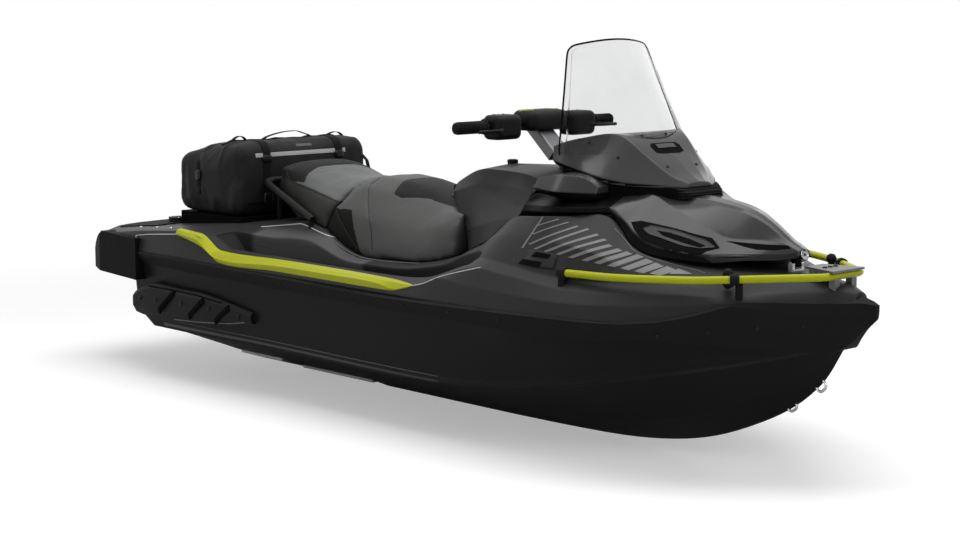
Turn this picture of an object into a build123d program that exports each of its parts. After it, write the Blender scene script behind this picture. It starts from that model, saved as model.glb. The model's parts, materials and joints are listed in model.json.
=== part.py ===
from build123d import *
import math
import os

# A touring personal watercraft with a cargo bag on its rear deck.
# Millimetres. Lines are drawn with X from the stern towards the bow, Y to port and Z up
# from the keel. At export everything is shifted so that the origin lies on the
# waterline, amidships, on the centreline.

# ------------------------------------------------------------ driving dimensions
LENGTH = 3734.0           # stern to the tip of the bow bumper
BEAM = 1255.0             # over the rub rails
HEIGHT = 1415.0           # keel to the top of the windshield
DRAFT = 260.0             # keel to waterline, afloat with no rider

PLAN_LENGTH = 3734.0      # the size that the tables of offsets below are drawn at
PLAN_BEAM = 1255.0
PLAN_HEIGHT = 1415.0

FIT = 0.3                 # gap between curved pieces that seat on one another
RUN = 6.0                 # gap round pieces that move
PIN_RUN = 0.05            # radial clearance of a pin in its bore
SHELL = 5.0               # wall of the moulded body panels

PUMP_HEIGHT = 165.0       # jet pump axis above the keel
PUMP_BORE = 80.0
PUMP_WALL = 14.0
IMPELLER_GAP = 5.5
SHAFT_RADIUS = 12.0
TUNNEL_HALF_WIDTH = 150.0
TUNNEL_LENGTH = 460.0     # forward of the transom
NOZZLE_LENGTH = 145.0
NOZZLE_BORE = 60.0
NOZZLE_WALL = 7.0
BUCKET_REACH = 196.0      # inner radius of the reverse bucket about its pivot
BUCKET_WALL = 6.0

BAR_TUBE = 12.5           # radius of the bow rail's tube
HANDLEBAR_TUBE = 11.0
GRIP_RADIUS = 17.0
GRIP_LENGTH = 125.0
HANDLEBAR_WIDTH = 790.0
STEERING_TILT = 41.5      # column above the horizontal, leaning aft
STEERING_SHAFT = 14.0

BAG_LENGTH = 420.0
BAG_WIDTH = 700.0
BAG_HEIGHT = 310.0
BAG_ROUND = 60.0
DRAIN_RADIUS = 8.0
DRAIN_STUB = 14.0         # how far a drain fitting stands out of the stern
DRAIN_COLLAR = 18.0
SOCKET_RADIUS = 12.0      # of the posts that cargo gear stands on
SOCKET_DEPTH = 16.0
ANCHOR_RADIUS = 42.0
MAT = 7.0
GLASS = 4.0
TRIM_STRIP = 11.0
LADDER_TUBE = 11.0
LADDER_DROP = 235.0
LADDER_WIDTH = 200.0
ENGINE_SIZE = (500.0, 340.0, 330.0)
BIN_SIZE = (400.0, 360.0, 230.0)
BIN_WALL = 4.0
GLOVE_BOX = (190.0, 150.0, 80.0)


def px(x):
    return x * LENGTH / PLAN_LENGTH


def py(y):
    return y * BEAM / PLAN_BEAM


def pz(z):
    return z * HEIGHT / PLAN_HEIGHT


# ------------------------------------------------------------ fair lines and skins
def fair(xs, ys):
    """A smooth curve through the points that never overshoots them."""
    steps = [b - a for a, b in zip(xs, xs[1:])]
    slopes = [(b - a) / h for a, b, h in zip(ys, ys[1:], steps)]
    tangents = [slopes[0]]
    for (h0, s0), (h1, s1) in zip(zip(steps, slopes), zip(steps[1:], slopes[1:])):
        if s0 * s1 <= 0:
            tangents.append(0.0)
        else:
            w0, w1 = 2 * h1 + h0, h1 + 2 * h0
            tangents.append((w0 + w1) / (w0 / s0 + w1 / s1))
    tangents.append(slopes[-1])

    def curve(x):
        x = min(max(x, xs[0]), xs[-1])
        k = max(i for i in range(len(steps)) if xs[i] <= x)
        h = steps[k]
        t = (x - xs[k]) / h
        a = (1 + 2 * t) * (1 - t) ** 2 * ys[k] + t * t * (3 - 2 * t) * ys[k + 1]
        b = t * (1 - t) ** 2 * h * tangents[k] + t * t * (t - 1) * h * tangents[k + 1]
        return a + b

    return curve


def stations(table, pieces=2):
    """The table's stations, with each space between two of them divided."""
    known = sorted(table)
    spread = []
    for a, b in zip(known, known[1:]):
        spread += [a + (b - a) * k / pieces for k in range(pieces)]
    return spread + [known[-1]]


def section_at(table):
    """A function that gives the section at any station of a table of offsets."""
    known = sorted(table)
    count = len(table[known[0]])
    ys = [fair(known, [table[x][i][0] for x in known]) for i in range(count)]
    zs = [fair(known, [table[x][i][1] for x in known]) for i in range(count)]
    return lambda x: [(ys[i](x), zs[i](x)) for i in range(count)]


def unit_normal(p, q):
    dy, dz = q[0] - p[0], q[1] - p[1]
    size = math.hypot(dy, dz) or 1.0
    return dz / size, -dy / size


def widened(points, grow, closed):
    """The section moved out by grow along its normals."""
    count = len(points)
    sides = [unit_normal(points[i], points[(i + 1) % count]) for i in range(count)]
    moved = []
    for i, (y, z) in enumerate(points):
        after, before = sides[i], sides[i - 1]
        if not closed and i == 0:
            before = (-after[0], after[1])
        if not closed and i == count - 1:
            after = (-before[0], before[1])
        share = max(1 + before[0] * after[0] + before[1] * after[1], 0.35)
        moved.append((y + grow * (before[0] + after[0]) / share, z + grow * (before[1] + after[1]) / share))
    return moved


def scaled(x, point):
    return Vector(px(x), py(point[0]), pz(point[1]))


def line_through(points):
    first, last = points[0].X, points[-1].X
    return Edge.make_spline(points, parameters=[(p.X - first) / (last - first) for p in points])


def body_form(table, grow=0.0, pieces=2):
    """A solid symmetric about the centreline, skinned over half sections that run from
    the bottom centre, round the side, to the top centre."""
    section = section_at(table)
    spread = stations(table, pieces)
    halves = [widened(section(x), grow, False) for x in spread]
    spread[0] -= grow
    spread[-1] += grow
    count = len(halves[0])
    sides = []
    for hand in (1, -1):
        sides.append([
            line_through([scaled(x, (hand * half[i][0], half[i][1])) for x, half in zip(spread, halves)])
            for i in range(count)
        ])
    faces = [Face.make_surface_from_curves(a, b) for side in sides for a, b in zip(side, side[1:])]
    for x, half in ((spread[0], halves[0]), (spread[-1], halves[-1])):
        loop = [scaled(x, p) for p in half]
        loop += [scaled(x, (-p[0], p[1])) for p in reversed(half) if p[0] > 1e-6]
        faces.append(Face(Wire.make_polygon(loop, close=True)))
    return Solid(Shell(faces))


def side_form(table, grow=0.0, pieces=2):
    """A solid beside the centreline, skinned over closed sections."""
    section = section_at(table)
    spread = stations(table, pieces)
    loops = [widened(section(x), grow, True) for x in spread]
    spread[0] -= grow
    spread[-1] += grow
    count = len(loops[0])
    lines = [line_through([scaled(x, loop[i]) for x, loop in zip(spread, loops)]) for i in range(count)]
    faces = [Face.make_surface_from_curves(lines[i], lines[(i + 1) % count]) for i in range(count)]
    for x, loop in ((spread[0], loops[0]), (spread[-1], loops[-1])):
        faces.append(Face(Wire.make_polygon([scaled(x, p) for p in loop], close=True)))
    return Solid(Shell(faces))


def both_sides(shape):
    return Compound([*shape.solids(), *mirror(shape, Plane.XZ).solids()])


def block(x, y, z):
    """A box between two limits in each direction."""
    size = [b - a for a, b in (x, y, z)]
    middle = [(a + b) / 2 for a, b in (x, y, z)]
    return Pos(*middle) * Box(*size)


def rod(start, end, radius):
    start, end = Vector(*start), Vector(*end)
    axis = end - start
    return extrude(Plane(origin=start, z_dir=axis) * Circle(radius), axis.length)


def tube_along(points, radius, bends):
    path = FilletPolyline(*points, radius=bends)
    start = Plane(origin=path @ 0, z_dir=path % 0)
    return sweep(start * Circle(radius), path=path)


# ------------------------------------------------------------ tables of offsets
# Each station holds the half section's corners, in order, as (half breadth, height).
JOINT = 500.0             # where the deck moulding meets the hull

HULL = {                  # keel, strake, chine in, chine out, band top, joint
    400: [(0, 0), (200, 85), (456, 188), (516, 198), (545, 252), (568, 500), (0, 500)],
    800: [(0, 0), (200, 85), (460, 188), (520, 198), (555, 252), (598, 500), (0, 500)],
    2300: [(0, 0), (195, 85), (455, 200), (515, 212), (550, 240), (600, 500), (0, 500)],
    2700: [(0, 12), (175, 98), (410, 245), (465, 258), (500, 285), (592, 500), (0, 500)],
    3000: [(0, 54), (135, 145), (330, 300), (375, 313), (405, 335), (478, 500), (0, 500)],
    3250: [(0, 140), (88, 225), (235, 355), (270, 368), (292, 388), (350, 500), (0, 500)],
    3450: [(0, 252), (48, 318), (130, 405), (155, 415), (172, 430), (212, 500), (0, 500)],
    3550: [(0, 350), (25, 388), (80, 437), (95, 443), (108, 455), (130, 500), (0, 500)],
    3610: [(0, 450), (12, 456), (30, 466), (38, 469), (48, 475), (64, 500), (0, 500)],
}
DECK = {                  # joint, flange, lip, gunwale, edge, foot, waist, shoulder, centre
    10: [(0, 500), (485, 500), (500, 515), (492, 545), (455, 556),
         (420, 574), (350, 578), (250, 580), (0, 582)],
    340: [(0, 500), (562, 500), (572, 522), (560, 585), (520, 596),
          (430, 600), (350, 602), (250, 603), (0, 605)],
    480: [(0, 500), (580, 500), (592, 522), (580, 602), (540, 609),
          (430, 611), (370, 613), (250, 615), (0, 617)],
    820: [(0, 500), (599, 500), (613, 522), (600, 625), (560, 633),
          (430, 638), (370, 641), (250, 643), (0, 645)],
    930: [(0, 500), (600, 500), (615, 522), (600, 612), (556, 618),
          (420, 632), (310, 645), (245, 651), (0, 653)],
    1020: [(0, 500), (600, 500), (616, 522), (599, 564), (554, 570),
           (370, 620), (297, 651), (240, 657), (0, 659)],
    1200: [(0, 500), (602, 500), (617, 522), (599, 560), (552, 566),
           (358, 600), (295, 672), (240, 678), (0, 680)],
    1308: [(0, 500), (603, 500), (617, 522), (598, 562), (552, 568),
           (356, 598), (294, 657), (240, 663), (0, 666)],
    1425: [(0, 500), (603, 500), (617, 522), (598, 564), (551, 570),
           (356, 580), (294, 602), (240, 608), (0, 611)],
    1553: [(0, 500), (604, 500), (617, 522), (598, 565), (550, 571),
           (356, 560), (295, 568), (240, 574), (0, 577)],
    1850: [(0, 500), (603, 500), (617, 522), (598, 563), (550, 569),
           (358, 562), (296, 575), (240, 582), (0, 585)],
    2100: [(0, 500), (602, 500), (617, 522), (599, 557), (552, 566),
           (370, 600), (300, 625), (245, 635), (0, 640)],
    2190: [(0, 500), (601, 500), (617, 520), (600, 558), (560, 568),
           (400, 625), (330, 655), (260, 672), (0, 680)],
    2320: [(0, 500), (600, 500), (616, 520), (592, 598), (562, 606),
           (450, 650), (390, 690), (320, 720), (0, 730)],
    2460: [(0, 500), (598, 500), (613, 520), (594, 590), (560, 645),
           (500, 672), (430, 745), (365, 800), (0, 765)],
    2700: [(0, 500), (588, 500), (604, 521), (590, 578), (552, 630),
           (512, 652), (466, 752), (416, 830), (0, 750)],
    2857: [(0, 500), (545, 500), (586, 522), (574, 572), (540, 612),
           (500, 640), (462, 742), (322, 838), (0, 742)],
    2950: [(0, 500), (505, 500), (564, 522), (552, 572), (520, 610),
           (482, 638), (440, 722), (336, 778), (0, 735)],
    3030: [(0, 500), (470, 500), (538, 522), (526, 574), (498, 610),
           (460, 638), (420, 688), (350, 734), (0, 722)],
    3145: [(0, 500), (415, 500), (478, 524), (466, 578), (438, 612),
           (402, 640), (350, 676), (286, 704), (0, 708)],
    3230: [(0, 500), (362, 500), (420, 530), (408, 584), (384, 616),
           (346, 641), (290, 668), (226, 687), (0, 692)],
    3350: [(0, 500), (270, 500), (322, 552), (310, 596), (284, 612),
           (264, 624), (205, 662), (144, 678), (0, 681)],
    3445: [(0, 500), (190, 500), (242, 556), (230, 600), (195, 624),
           (176, 633), (125, 660), (80, 671), (0, 674)],
    3545: [(0, 500), (115, 500), (152, 552), (142, 598), (104, 632),
           (88, 643), (62, 656), (38, 663), (0, 666)],
    3620: [(0, 500), (52, 500), (84, 552), (80, 598), (58, 628),
           (48, 638), (34, 646), (20, 650), (0, 652)],
    3668: [(0, 500), (12, 500), (42, 552), (40, 598), (30, 618),
           (24, 626), (17, 631), (10, 634), (0, 636)],
}
BUMPER = {                # underside, lower lip, step, face, crease, top
    3118: [(0, 470), (470, 470), (486, 480), (508, 508), (508, 524), (490, 530), (0, 530)],
    3200: [(0, 465), (428, 465), (444, 480), (462, 514), (462, 533), (444, 540), (0, 540)],
    3300: [(0, 456), (340, 456), (358, 478), (384, 530), (385, 557), (368, 566), (0, 566)],
    3400: [(0, 449), (245, 449), (266, 480), (290, 540), (291, 590), (276, 600), (0, 600)],
    3470: [(0, 442), (180, 442), (206, 484), (230, 520), (232, 577), (218, 602), (0, 602)],
    3563: [(0, 438), (98, 438), (126, 490), (148, 520), (151, 572), (140, 602), (0, 602)],
    3620: [(0, 446), (48, 446), (72, 492), (96, 520), (101, 572), (93, 603), (0, 603)],
    3660: [(0, 482), (20, 482), (38, 500), (58, 522), (65, 572), (60, 604), (0, 626)],
    3690: [(0, 516), (10, 516), (20, 524), (32, 536), (39, 572), (36, 606), (0, 620)],
    3734: [(0, 556), (3, 556), (5, 562), (7, 570), (8, 582), (8, 600), (0, 602)],
}
RUB_RAIL = {              # lower edge, widest, top
    400: [(560, 474), (570, 474), (590, 502), (592, 512), (580, 520), (560, 520)],
    800: [(585, 468), (598, 468), (622, 506), (624, 516), (612, 521), (585, 521)],
    1200: [(585, 464), (600, 464), (626, 504), (627.5, 514), (616, 520), (585, 520)],
    2050: [(585, 459), (599, 459), (626, 496), (627.5, 505), (616, 512), (585, 512)],
    2300: [(582, 459), (597, 459), (625, 499), (627, 509), (614, 517), (582, 517)],
    2513: [(575, 457), (590, 457), (621, 504), (623, 514), (608, 522), (575, 522)],
    2700: [(560, 451), (576, 451), (611, 506), (613, 518), (598, 526), (560, 526)],
    2857: [(530, 449), (550, 449), (592, 508), (595, 521), (580, 529), (530, 529)],
    3014: [(470, 452), (492, 452), (548, 508), (552, 520), (536, 528), (470, 528)],
    3118: [(420, 470), (470, 470), (506, 508), (508, 522), (490, 529), (420, 529)],
}
TRIM = {                  # lower edge, ridge, top edge of the coloured wedge
    775: [(580, 618), (603, 612), (611, 620), (605, 634), (588, 638)],
    820: [(575, 610), (606, 606), (614, 618), (604, 631), (582, 635)],
    930: [(572, 588), (609, 585), (617, 604), (604, 620), (580, 624)],
    1020: [(572, 548), (610, 546), (620, 556), (604, 569), (576, 574)],
    1070: [(572, 527), (611, 525), (621, 545), (604, 565), (576, 570)],
    1605: [(572, 526), (610, 524), (621, 556), (604, 568), (576, 573)],
    1980: [(572, 525), (610, 523), (621, 555), (604, 565), (576, 570)],
    2060: [(574, 525), (609, 523), (619, 548), (604, 563), (577, 568)],
    2100: [(577, 533), (609, 529), (616, 540), (604, 562), (580, 567)],
    2190: [(592, 556), (601, 554), (604, 556), (602, 560), (594, 562)],
}
FOOTWELL = {              # outer top, inner top, inner wall, floor in, floor out
    930: [(540, 760), (440, 760), (440, 636), (440, 622), (530, 614)],
    1090: [(546, 760), (364, 760), (364, 600), (352, 392), (500, 400)],
    2200: [(546, 760), (372, 760), (372, 600), (354, 385), (500, 395)],
    2420: [(548, 760), (480, 760), (472, 650), (420, 400), (505, 405)],
}
SADDLE = {                # bottom, skirt, side, shoulder, top
    1205: [(0, 600), (276, 600), (276, 680), (246, 762), (170, 822), (88, 836), (0, 838)],
    1308: [(0, 600), (286, 600), (285, 672), (256, 745), (180, 816), (95, 836), (0, 838)],
    1442: [(0, 570), (288, 570), (286, 640), (262, 735), (180, 828), (94, 860), (0, 862)],
    1600: [(0, 540), (289, 540), (286, 600), (258, 708), (168, 812), (90, 850), (0, 852)],
    1750: [(0, 540), (289, 540), (284, 600), (248, 695), (150, 788), (80, 822), (0, 824)],
    1850: [(0, 540), (289, 540), (282, 605), (244, 700), (150, 775), (74, 800), (0, 802)],
    1960: [(0, 540), (287, 540), (280, 625), (256, 722), (196, 775), (110, 782), (0, 782)],
    2055: [(0, 560), (280, 560), (274, 650), (258, 728), (226, 770), (120, 775), (0, 775)],
}
REAR_SEAT = {             # the same corners
    905: [(0, 740), (165, 740), (182, 765), (190, 800), (180, 868), (110, 884), (0, 886)],
    960: [(0, 715), (190, 715), (205, 745), (208, 790), (188, 868), (110, 888), (0, 890)],
    1080: [(0, 665), (224, 665), (232, 710), (222, 780), (178, 848), (105, 866), (0, 868)],
    1195: [(0, 645), (270, 645), (266, 695), (240, 764), (171, 824), (90, 838), (0, 840)],
    1300: [(0, 635), (284, 635), (284, 670), (256, 745), (179, 816), (94, 836), (0, 838)],
    1442: [(0, 600), (286, 600), (286, 640), (262, 735), (180, 828), (94, 860), (0, 862)],
}
CONSOLE = {               # base, flank, shoulder, top
    1862: [(0, 808), (92, 808), (108, 818), (112, 832), (96, 854), (0, 862)],
    1960: [(0, 768), (150, 768), (166, 790), (150, 850), (124, 896), (0, 906)],
    2080: [(0, 680), (226, 680), (230, 725), (182, 880), (147, 934), (0, 946)],
    2200: [(0, 600), (322, 600), (282, 745), (204, 889), (165, 938), (0, 948)],
    2330: [(0, 640), (380, 640), (316, 778), (238, 889), (186, 936), (0, 946)],
    2470: [(0, 700), (392, 700), (352, 800), (282, 880), (222, 915), (0, 926)],
}
HOOD = {                  # lower edge, side, outer crease, inner crease, ridge foot, ridge
    2500: [(0, 826), (356, 826), (350, 850), (300, 882), (180, 890), (60, 892), (0, 892)],
    2700: [(0, 842), (408, 842), (400, 860), (310, 886), (180, 897), (80, 899), (0, 900)],
    2800: [(0, 846), (362, 846), (352, 862), (236, 894), (150, 904), (85, 906), (0, 907)],
    2862: [(0, 846), (306, 846), (296, 862), (196, 902), (130, 906), (84, 908), (0, 910)],
    2930: [(0, 794), (316, 794), (300, 822), (169, 903), (112, 898), (72, 902), (0, 908)],
    2990: [(0, 754), (338, 754), (320, 786), (165, 878), (98, 886), (62, 896), (0, 901)],
    3054: [(0, 728), (332, 728), (314, 756), (160, 852), (84, 879), (52, 890), (0, 895)],
    3150: [(0, 714), (290, 714), (276, 738), (150, 812), (66, 872), (42, 879), (0, 882)],
    3240: [(0, 704), (218, 704), (212, 722), (121, 777), (46, 852), (32, 858), (0, 861)],
    3320: [(0, 715), (158, 715), (144, 730), (68, 775), (28, 816), (20, 819), (0, 821)],
    3392: [(0, 716), (78, 716), (70, 727), (36, 765), (24, 770), (14, 773), (0, 775)],
    3440: [(0, 722), (36, 722), (34, 728), (26, 745), (18, 748), (10, 750), (0, 752)],
}
COWL_BASE = {             # a dark plinth between hood and cowl
    2592: [(0, 880), (258, 880), (254, 984), (0, 984)],
    2650: [(0, 880), (268, 880), (264, 974), (0, 974)],
    2780: [(0, 880), (254, 880), (248, 944), (0, 944)],
    2900: [(0, 870), (188, 870), (182, 928), (0, 928)],
    2985: [(0, 870), (118, 870), (112, 922), (0, 922)],
    3020: [(0, 870), (92, 870), (86, 906), (0, 906)],
}
COWL = {                  # foot, side, crease, top
    2575: [(0, 990), (272, 990), (286, 1004), (281, 1052), (150, 1058), (0, 1060)],
    2640: [(0, 976), (280, 976), (291, 992), (272, 1074), (150, 1078), (0, 1079)],
    2755: [(0, 950), (276, 950), (280, 966), (168, 1098), (100, 1096), (0, 1096)],
    2860: [(0, 930), (222, 930), (220, 944), (129, 1030), (76, 1032), (0, 1034)],
    2955: [(0, 925), (124, 925), (118, 932), (84, 956), (50, 960), (0, 962)],
    2992: [(0, 923), (66, 923), (62, 928), (48, 936), (30, 938), (0, 940)],
}
MIRROR_POD = {            # inner foot, outer foot, outer side, outer top, inner top
    2596: [(240, 900), (378, 900), (402, 920), (378, 950), (240, 958)],
    2690: [(236, 892), (378, 890), (398, 912), (358, 966), (236, 974)],
    2760: [(230, 886), (334, 885), (344, 908), (316, 955), (230, 962)],
    2800: [(220, 884), (306, 884), (312, 898), (298, 926), (220, 934)],
}
SPONSON = {               # round from the inner foot
    440: [(530, 252), (585, 262), (602, 292), (602, 330), (590, 345), (550, 345)],
    560: [(530, 240), (590, 252), (608, 285), (608, 372), (595, 392), (560, 392)],
    900: [(535, 262), (598, 272), (612, 305), (612, 372), (600, 392), (560, 392)],
    1240: [(545, 300), (585, 305), (592, 320), (592, 335), (585, 348), (560, 348)],
}
SIDE_VENT = {             # inner low, outer low, outer high, inner high
    2612: [(470, 668), (504, 671), (474, 714), (446, 708)],
    2700: [(476, 664), (509, 669), (486, 722), (456, 716)],
    2792: [(470, 664), (502, 668), (482, 712), (452, 706)],
}


def lowered(table, drop):
    return {x: [(y, z - drop) for y, z in points] for x, points in table.items()}


# ------------------------------------------------------------ the hull and its tunnel
TRANSOM = px(400)
slope_foot = px(600)      # the raked stern face runs from here up to slope_top
slope_top = pz(300)
stern_slope = Vector(slope_foot - TRANSOM, 0, -slope_top).normalized()
stern_out = Vector(stern_slope.Z, 0, -stern_slope.X)
pump_front = TRANSOM + TUNNEL_LENGTH
tunnel_top = PUMP_HEIGHT + PUMP_BORE + PUMP_WALL + 80
bin_middle = px(2950)
bin_top = pz(690)
engine_aft = px(1230)
engine_floor = pz(95)


def tunnel_space():
    pump_room = block((-50, pump_front), (-TUNNEL_HALF_WIDTH, TUNNEL_HALF_WIDTH), (-50, tunnel_top))
    bucket_room = block((-50, TRANSOM + 170), (-TUNNEL_HALF_WIDTH, TUNNEL_HALF_WIDTH), (-50, pz(418)))
    return pump_room + bucket_room


def intake_space():
    low, high = PUMP_HEIGHT - PUMP_BORE, PUMP_HEIGHT + PUMP_BORE
    side = Polyline((pump_front, low), (pump_front, high), (pump_front + 480, -20),
                    (pump_front + 90, -20), close=True)
    duct = extrude(Plane.XZ * make_face(side), PUMP_BORE, both=True)
    rebate = block((pump_front + 50, pump_front + 500), (-PUMP_BORE, PUMP_BORE), (-20, 35))
    return duct + rebate


def engine_box(gap=0.0):
    length, width, height = ENGINE_SIZE
    return block((engine_aft - gap, engine_aft + length + gap), (-width / 2 - gap, width / 2 + gap),
                 (engine_floor, engine_floor + height + gap))


def bin_box(wall=0.0):
    length, width, height = BIN_SIZE
    return block((bin_middle - length / 2 + wall, bin_middle + length / 2 - wall),
                 (-width / 2 + wall, width / 2 - wall), (bin_top - height + wall, bin_top))


def bin_space():
    return bin_box() + Pos(0, 0, 200) * bin_box()


def raked_stern():
    """What the raked face takes off the foot of the stern."""
    below, behind = -50, TRANSOM - 50
    side = Polyline((behind, below), (slope_foot, below), (slope_foot, 0), (TRANSOM, slope_top),
                    (behind, slope_top), close=True)
    return extrude(Plane.XZ * make_face(side), BEAM, both=True)


def make_hull():
    hull = body_form(HULL) - raked_stern()
    shaft_hole = rod((pump_front, 0, PUMP_HEIGHT), (engine_aft + 1, 0, PUMP_HEIGHT), SHAFT_RADIUS + PIN_RUN)
    hull -= both_sides(side_form(FOOTWELL))
    for space in (tunnel_space(), intake_space(), engine_box(), bin_space(), shaft_hole):
        hull -= space
    return hull


def make_drain_fittings():
    """A threaded stub on the raked stern face at each side, for a drain plug."""
    fittings = []
    for side in (-1, 1):
        foot = Vector((TRANSOM + slope_foot) / 2, side * py(235), slope_top / 2)
        end = foot + stern_out * DRAIN_STUB
        stub = rod(tuple(foot), tuple(end), DRAIN_COLLAR) - rod(tuple(foot), tuple(end), DRAIN_RADIUS)
        fittings += stub.solids()
    return Compound(fittings)


def make_deck():
    deck = body_form(DECK)
    chamfer = Polyline((-50, pz(440)), (px(5), pz(500)), (px(100), pz(600)), (-50, pz(600)), close=True)
    deck -= extrude(Plane.XZ * make_face(chamfer), BEAM, both=True)
    deck -= both_sides(side_form(FOOTWELL))
    deck -= bin_space()
    return deck


platform_floor = pz(420)


def platform_plan(gap=0.0):
    aft, fore = py(470) + gap, py(566) + gap
    return make_face(Polyline((px(12), aft), (TRANSOM, fore), (TRANSOM, -fore), (px(12), -aft), close=True))


def make_platform():
    """The thick moulding under the swim deck, behind the transom."""
    return extrude(Pos(0, 0, platform_floor) * platform_plan(), pz(JOINT) - platform_floor)


guard_front = px(480)


def make_stern_bumpers():
    """The chunky corner guards of the swim platform."""
    low, high = pz(400), pz(572)
    plan = Polyline((px(0), py(440)), (px(0), py(500)), (px(130), py(560)), (guard_front, py(612)),
                    (guard_front, py(560)), (px(12), py(440)), close=True)
    guard = extrude(Pos(0, 0, low) * make_face(plan), high - low)
    crest = Polyline((-50, pz(440)), (px(0), pz(480)), (px(24), pz(508)), (px(73), pz(539)), (px(145), pz(567)),
                     (px(145), high + 50), (-50, high + 50), close=True)
    guard -= extrude(Plane.XZ * make_face(crest), BEAM, both=True)
    guard -= body_form(DECK, FIT)
    guard -= body_form(HULL, FIT)
    guard -= extrude(Pos(0, 0, low - FIT) * platform_plan(FIT), high - low)
    return both_sides(max(guard.solids(), key=lambda s: s.volume))


def make_rub_rail():
    rail = side_form(RUB_RAIL) - body_form(DECK, FIT) - body_form(HULL, FIT)
    rail &= block((guard_front + FIT, px(min(BUMPER)) - FIT), (0, BEAM), (0, HEIGHT))
    return both_sides(max(rail.solids(), key=lambda s: s.volume))


def make_bow_bumper():
    bumper = body_form(BUMPER) - body_form(DECK, FIT) - body_form(HULL, FIT)
    return max(bumper.solids(), key=lambda s: s.volume)


def make_trim():
    trim = side_form(TRIM) - body_form(DECK, FIT) - side_form(RUB_RAIL, FIT)
    return both_sides(max(trim.solids(), key=lambda s: s.volume))


# ------------------------------------------------------------ seats and rear deck
SEAT_GAP = 8.0


def forward_of_seam(shift):
    """Everything ahead of the slanting seam between the rear seat and the saddle."""
    side = Polyline((px(1283) + shift, pz(500)), (px(1378) + shift, pz(900)), (px(2200), pz(900)),
                    (px(2200), pz(500)), close=True)
    return extrude(Plane.XZ * make_face(side), BEAM, both=True)


def make_saddle():
    saddle = body_form(SADDLE) - body_form(DECK, FIT) - body_form(CONSOLE, FIT)
    return max((saddle & forward_of_seam(SEAT_GAP / 2)).solids(), key=lambda s: s.volume)


def make_rear_seat():
    seat = body_form(REAR_SEAT) - body_form(DECK, FIT) - forward_of_seam(-SEAT_GAP / 2)
    return max(seat.solids(), key=lambda s: s.volume)


def make_grab_bar():
    """A tube round the back of the rear seat, standing on four feet."""
    aft, fore = px(852), px(1262)
    aft_y, fore_y = py(226), py(299)
    rise, fall = pz(812), pz(690)
    points = [(fore, -fore_y, fall), (aft, -aft_y, rise), (aft, aft_y, rise), (fore, fore_y, fall)]
    bar = tube_along(points, 14, [60, 60])
    for side in (-1, 1):
        bar += rod((aft, side * py(150), rise), (aft, side * py(150), pz(600)), 10)
        bar += rod((fore - 12, side * fore_y, fall + 2), (fore - 12, side * fore_y, pz(600)), 10)
    return max((bar - body_form(DECK, FIT)).solids(), key=lambda s: s.volume)


def make_foot_mats():
    """Grippy mats on the footwell floors."""
    layer = side_form(FOOTWELL, -FIT) - Pos(0, 0, MAT) * side_form(FOOTWELL)
    layer &= block((px(1130), px(2300)), (py(362), py(494)), (pz(350), pz(412)))
    return both_sides(max(layer.solids(), key=lambda s: s.volume))


anchor_x, anchor_y = px(345), py(300)
anchor_top = pz(628)
tray_top = pz(664)
bag_middle = px(620)


def make_platform_mat():
    """A thin grippy mat on the swim deck, cut out round the cargo anchors."""
    raised = body_form(lowered(DECK, -5)) & block((px(132), px(400)), (-py(455), py(455)), (pz(560), pz(700)))
    mat = raised - body_form(DECK, FIT)
    for side in (-1, 1):
        mat -= rod((anchor_x, side * anchor_y, pz(500)), (anchor_x, side * anchor_y, pz(700)), ANCHOR_RADIUS + RUN)
    return max(mat.solids(), key=lambda s: s.volume)


def make_cargo_anchors():
    """Round sockets on the swim deck that take the posts of cargo gear."""
    pads = []
    for side in (-1, 1):
        top = (anchor_x, side * anchor_y, anchor_top)
        pad = rod((anchor_x, side * anchor_y, pz(580)), top, ANCHOR_RADIUS)
        pad -= rod((anchor_x, side * anchor_y, anchor_top - SOCKET_DEPTH), top, SOCKET_RADIUS)
        pads.append(max((pad - body_form(DECK, FIT)).solids(), key=lambda s: s.volume))
    return Compound(pads)


def make_cargo_tray():
    tray = block((bag_middle - BAG_LENGTH / 2, bag_middle + BAG_LENGTH / 2),
                 (-BAG_WIDTH / 2 + 20, BAG_WIDTH / 2 - 20), (pz(590), tray_top))
    return max((tray - body_form(DECK, FIT)).solids(), key=lambda s: s.volume)


def bag_shape(grow=0.0):
    size = (BAG_LENGTH + 2 * grow, BAG_WIDTH + 2 * grow, BAG_HEIGHT + 2 * grow)
    bag = Pos(bag_middle, 0, tray_top + FIT + BAG_HEIGHT / 2) * Box(*size)
    return fillet(bag.edges(), BAG_ROUND + grow)


def make_bag_straps():
    """Two webbing straps that go over the bag and down to the tray."""
    skin = bag_shape(3.4) - bag_shape(FIT)
    straps = []
    for side in (-1, 1):
        band = block((-500, 5000), (side * 190 - 19, side * 190 + 19), (tray_top + FIT, 5000))
        straps += (skin & band).solids()
    return Compound(straps)


# ------------------------------------------------------------ console and glove box
lid_front = px(2150)
lid_pivot = (px(1868), pz(834))
LID = 14.0
LID_PIN = 4.0
LID_KNUCKLE = 8.0
steering_foot = Vector(px(2370), 0, pz(949))
steering_up = Vector(-math.cos(math.radians(STEERING_TILT)), 0, math.sin(math.radians(STEERING_TILT)))
COLLAR = 24.0


def up_column(distance):
    return tuple(steering_foot + steering_up * distance)


display_foot = Vector(px(2400), 0, pz(860))
display_top = Vector(px(2470), 0, pz(1014))
DISPLAY = (178.0, 66.0)


def lid_opening(gap=0.0):
    return block((px(1700), lid_front - gap), (-py(102) + gap, py(102) - gap), (pz(700), pz(1000)))


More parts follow.
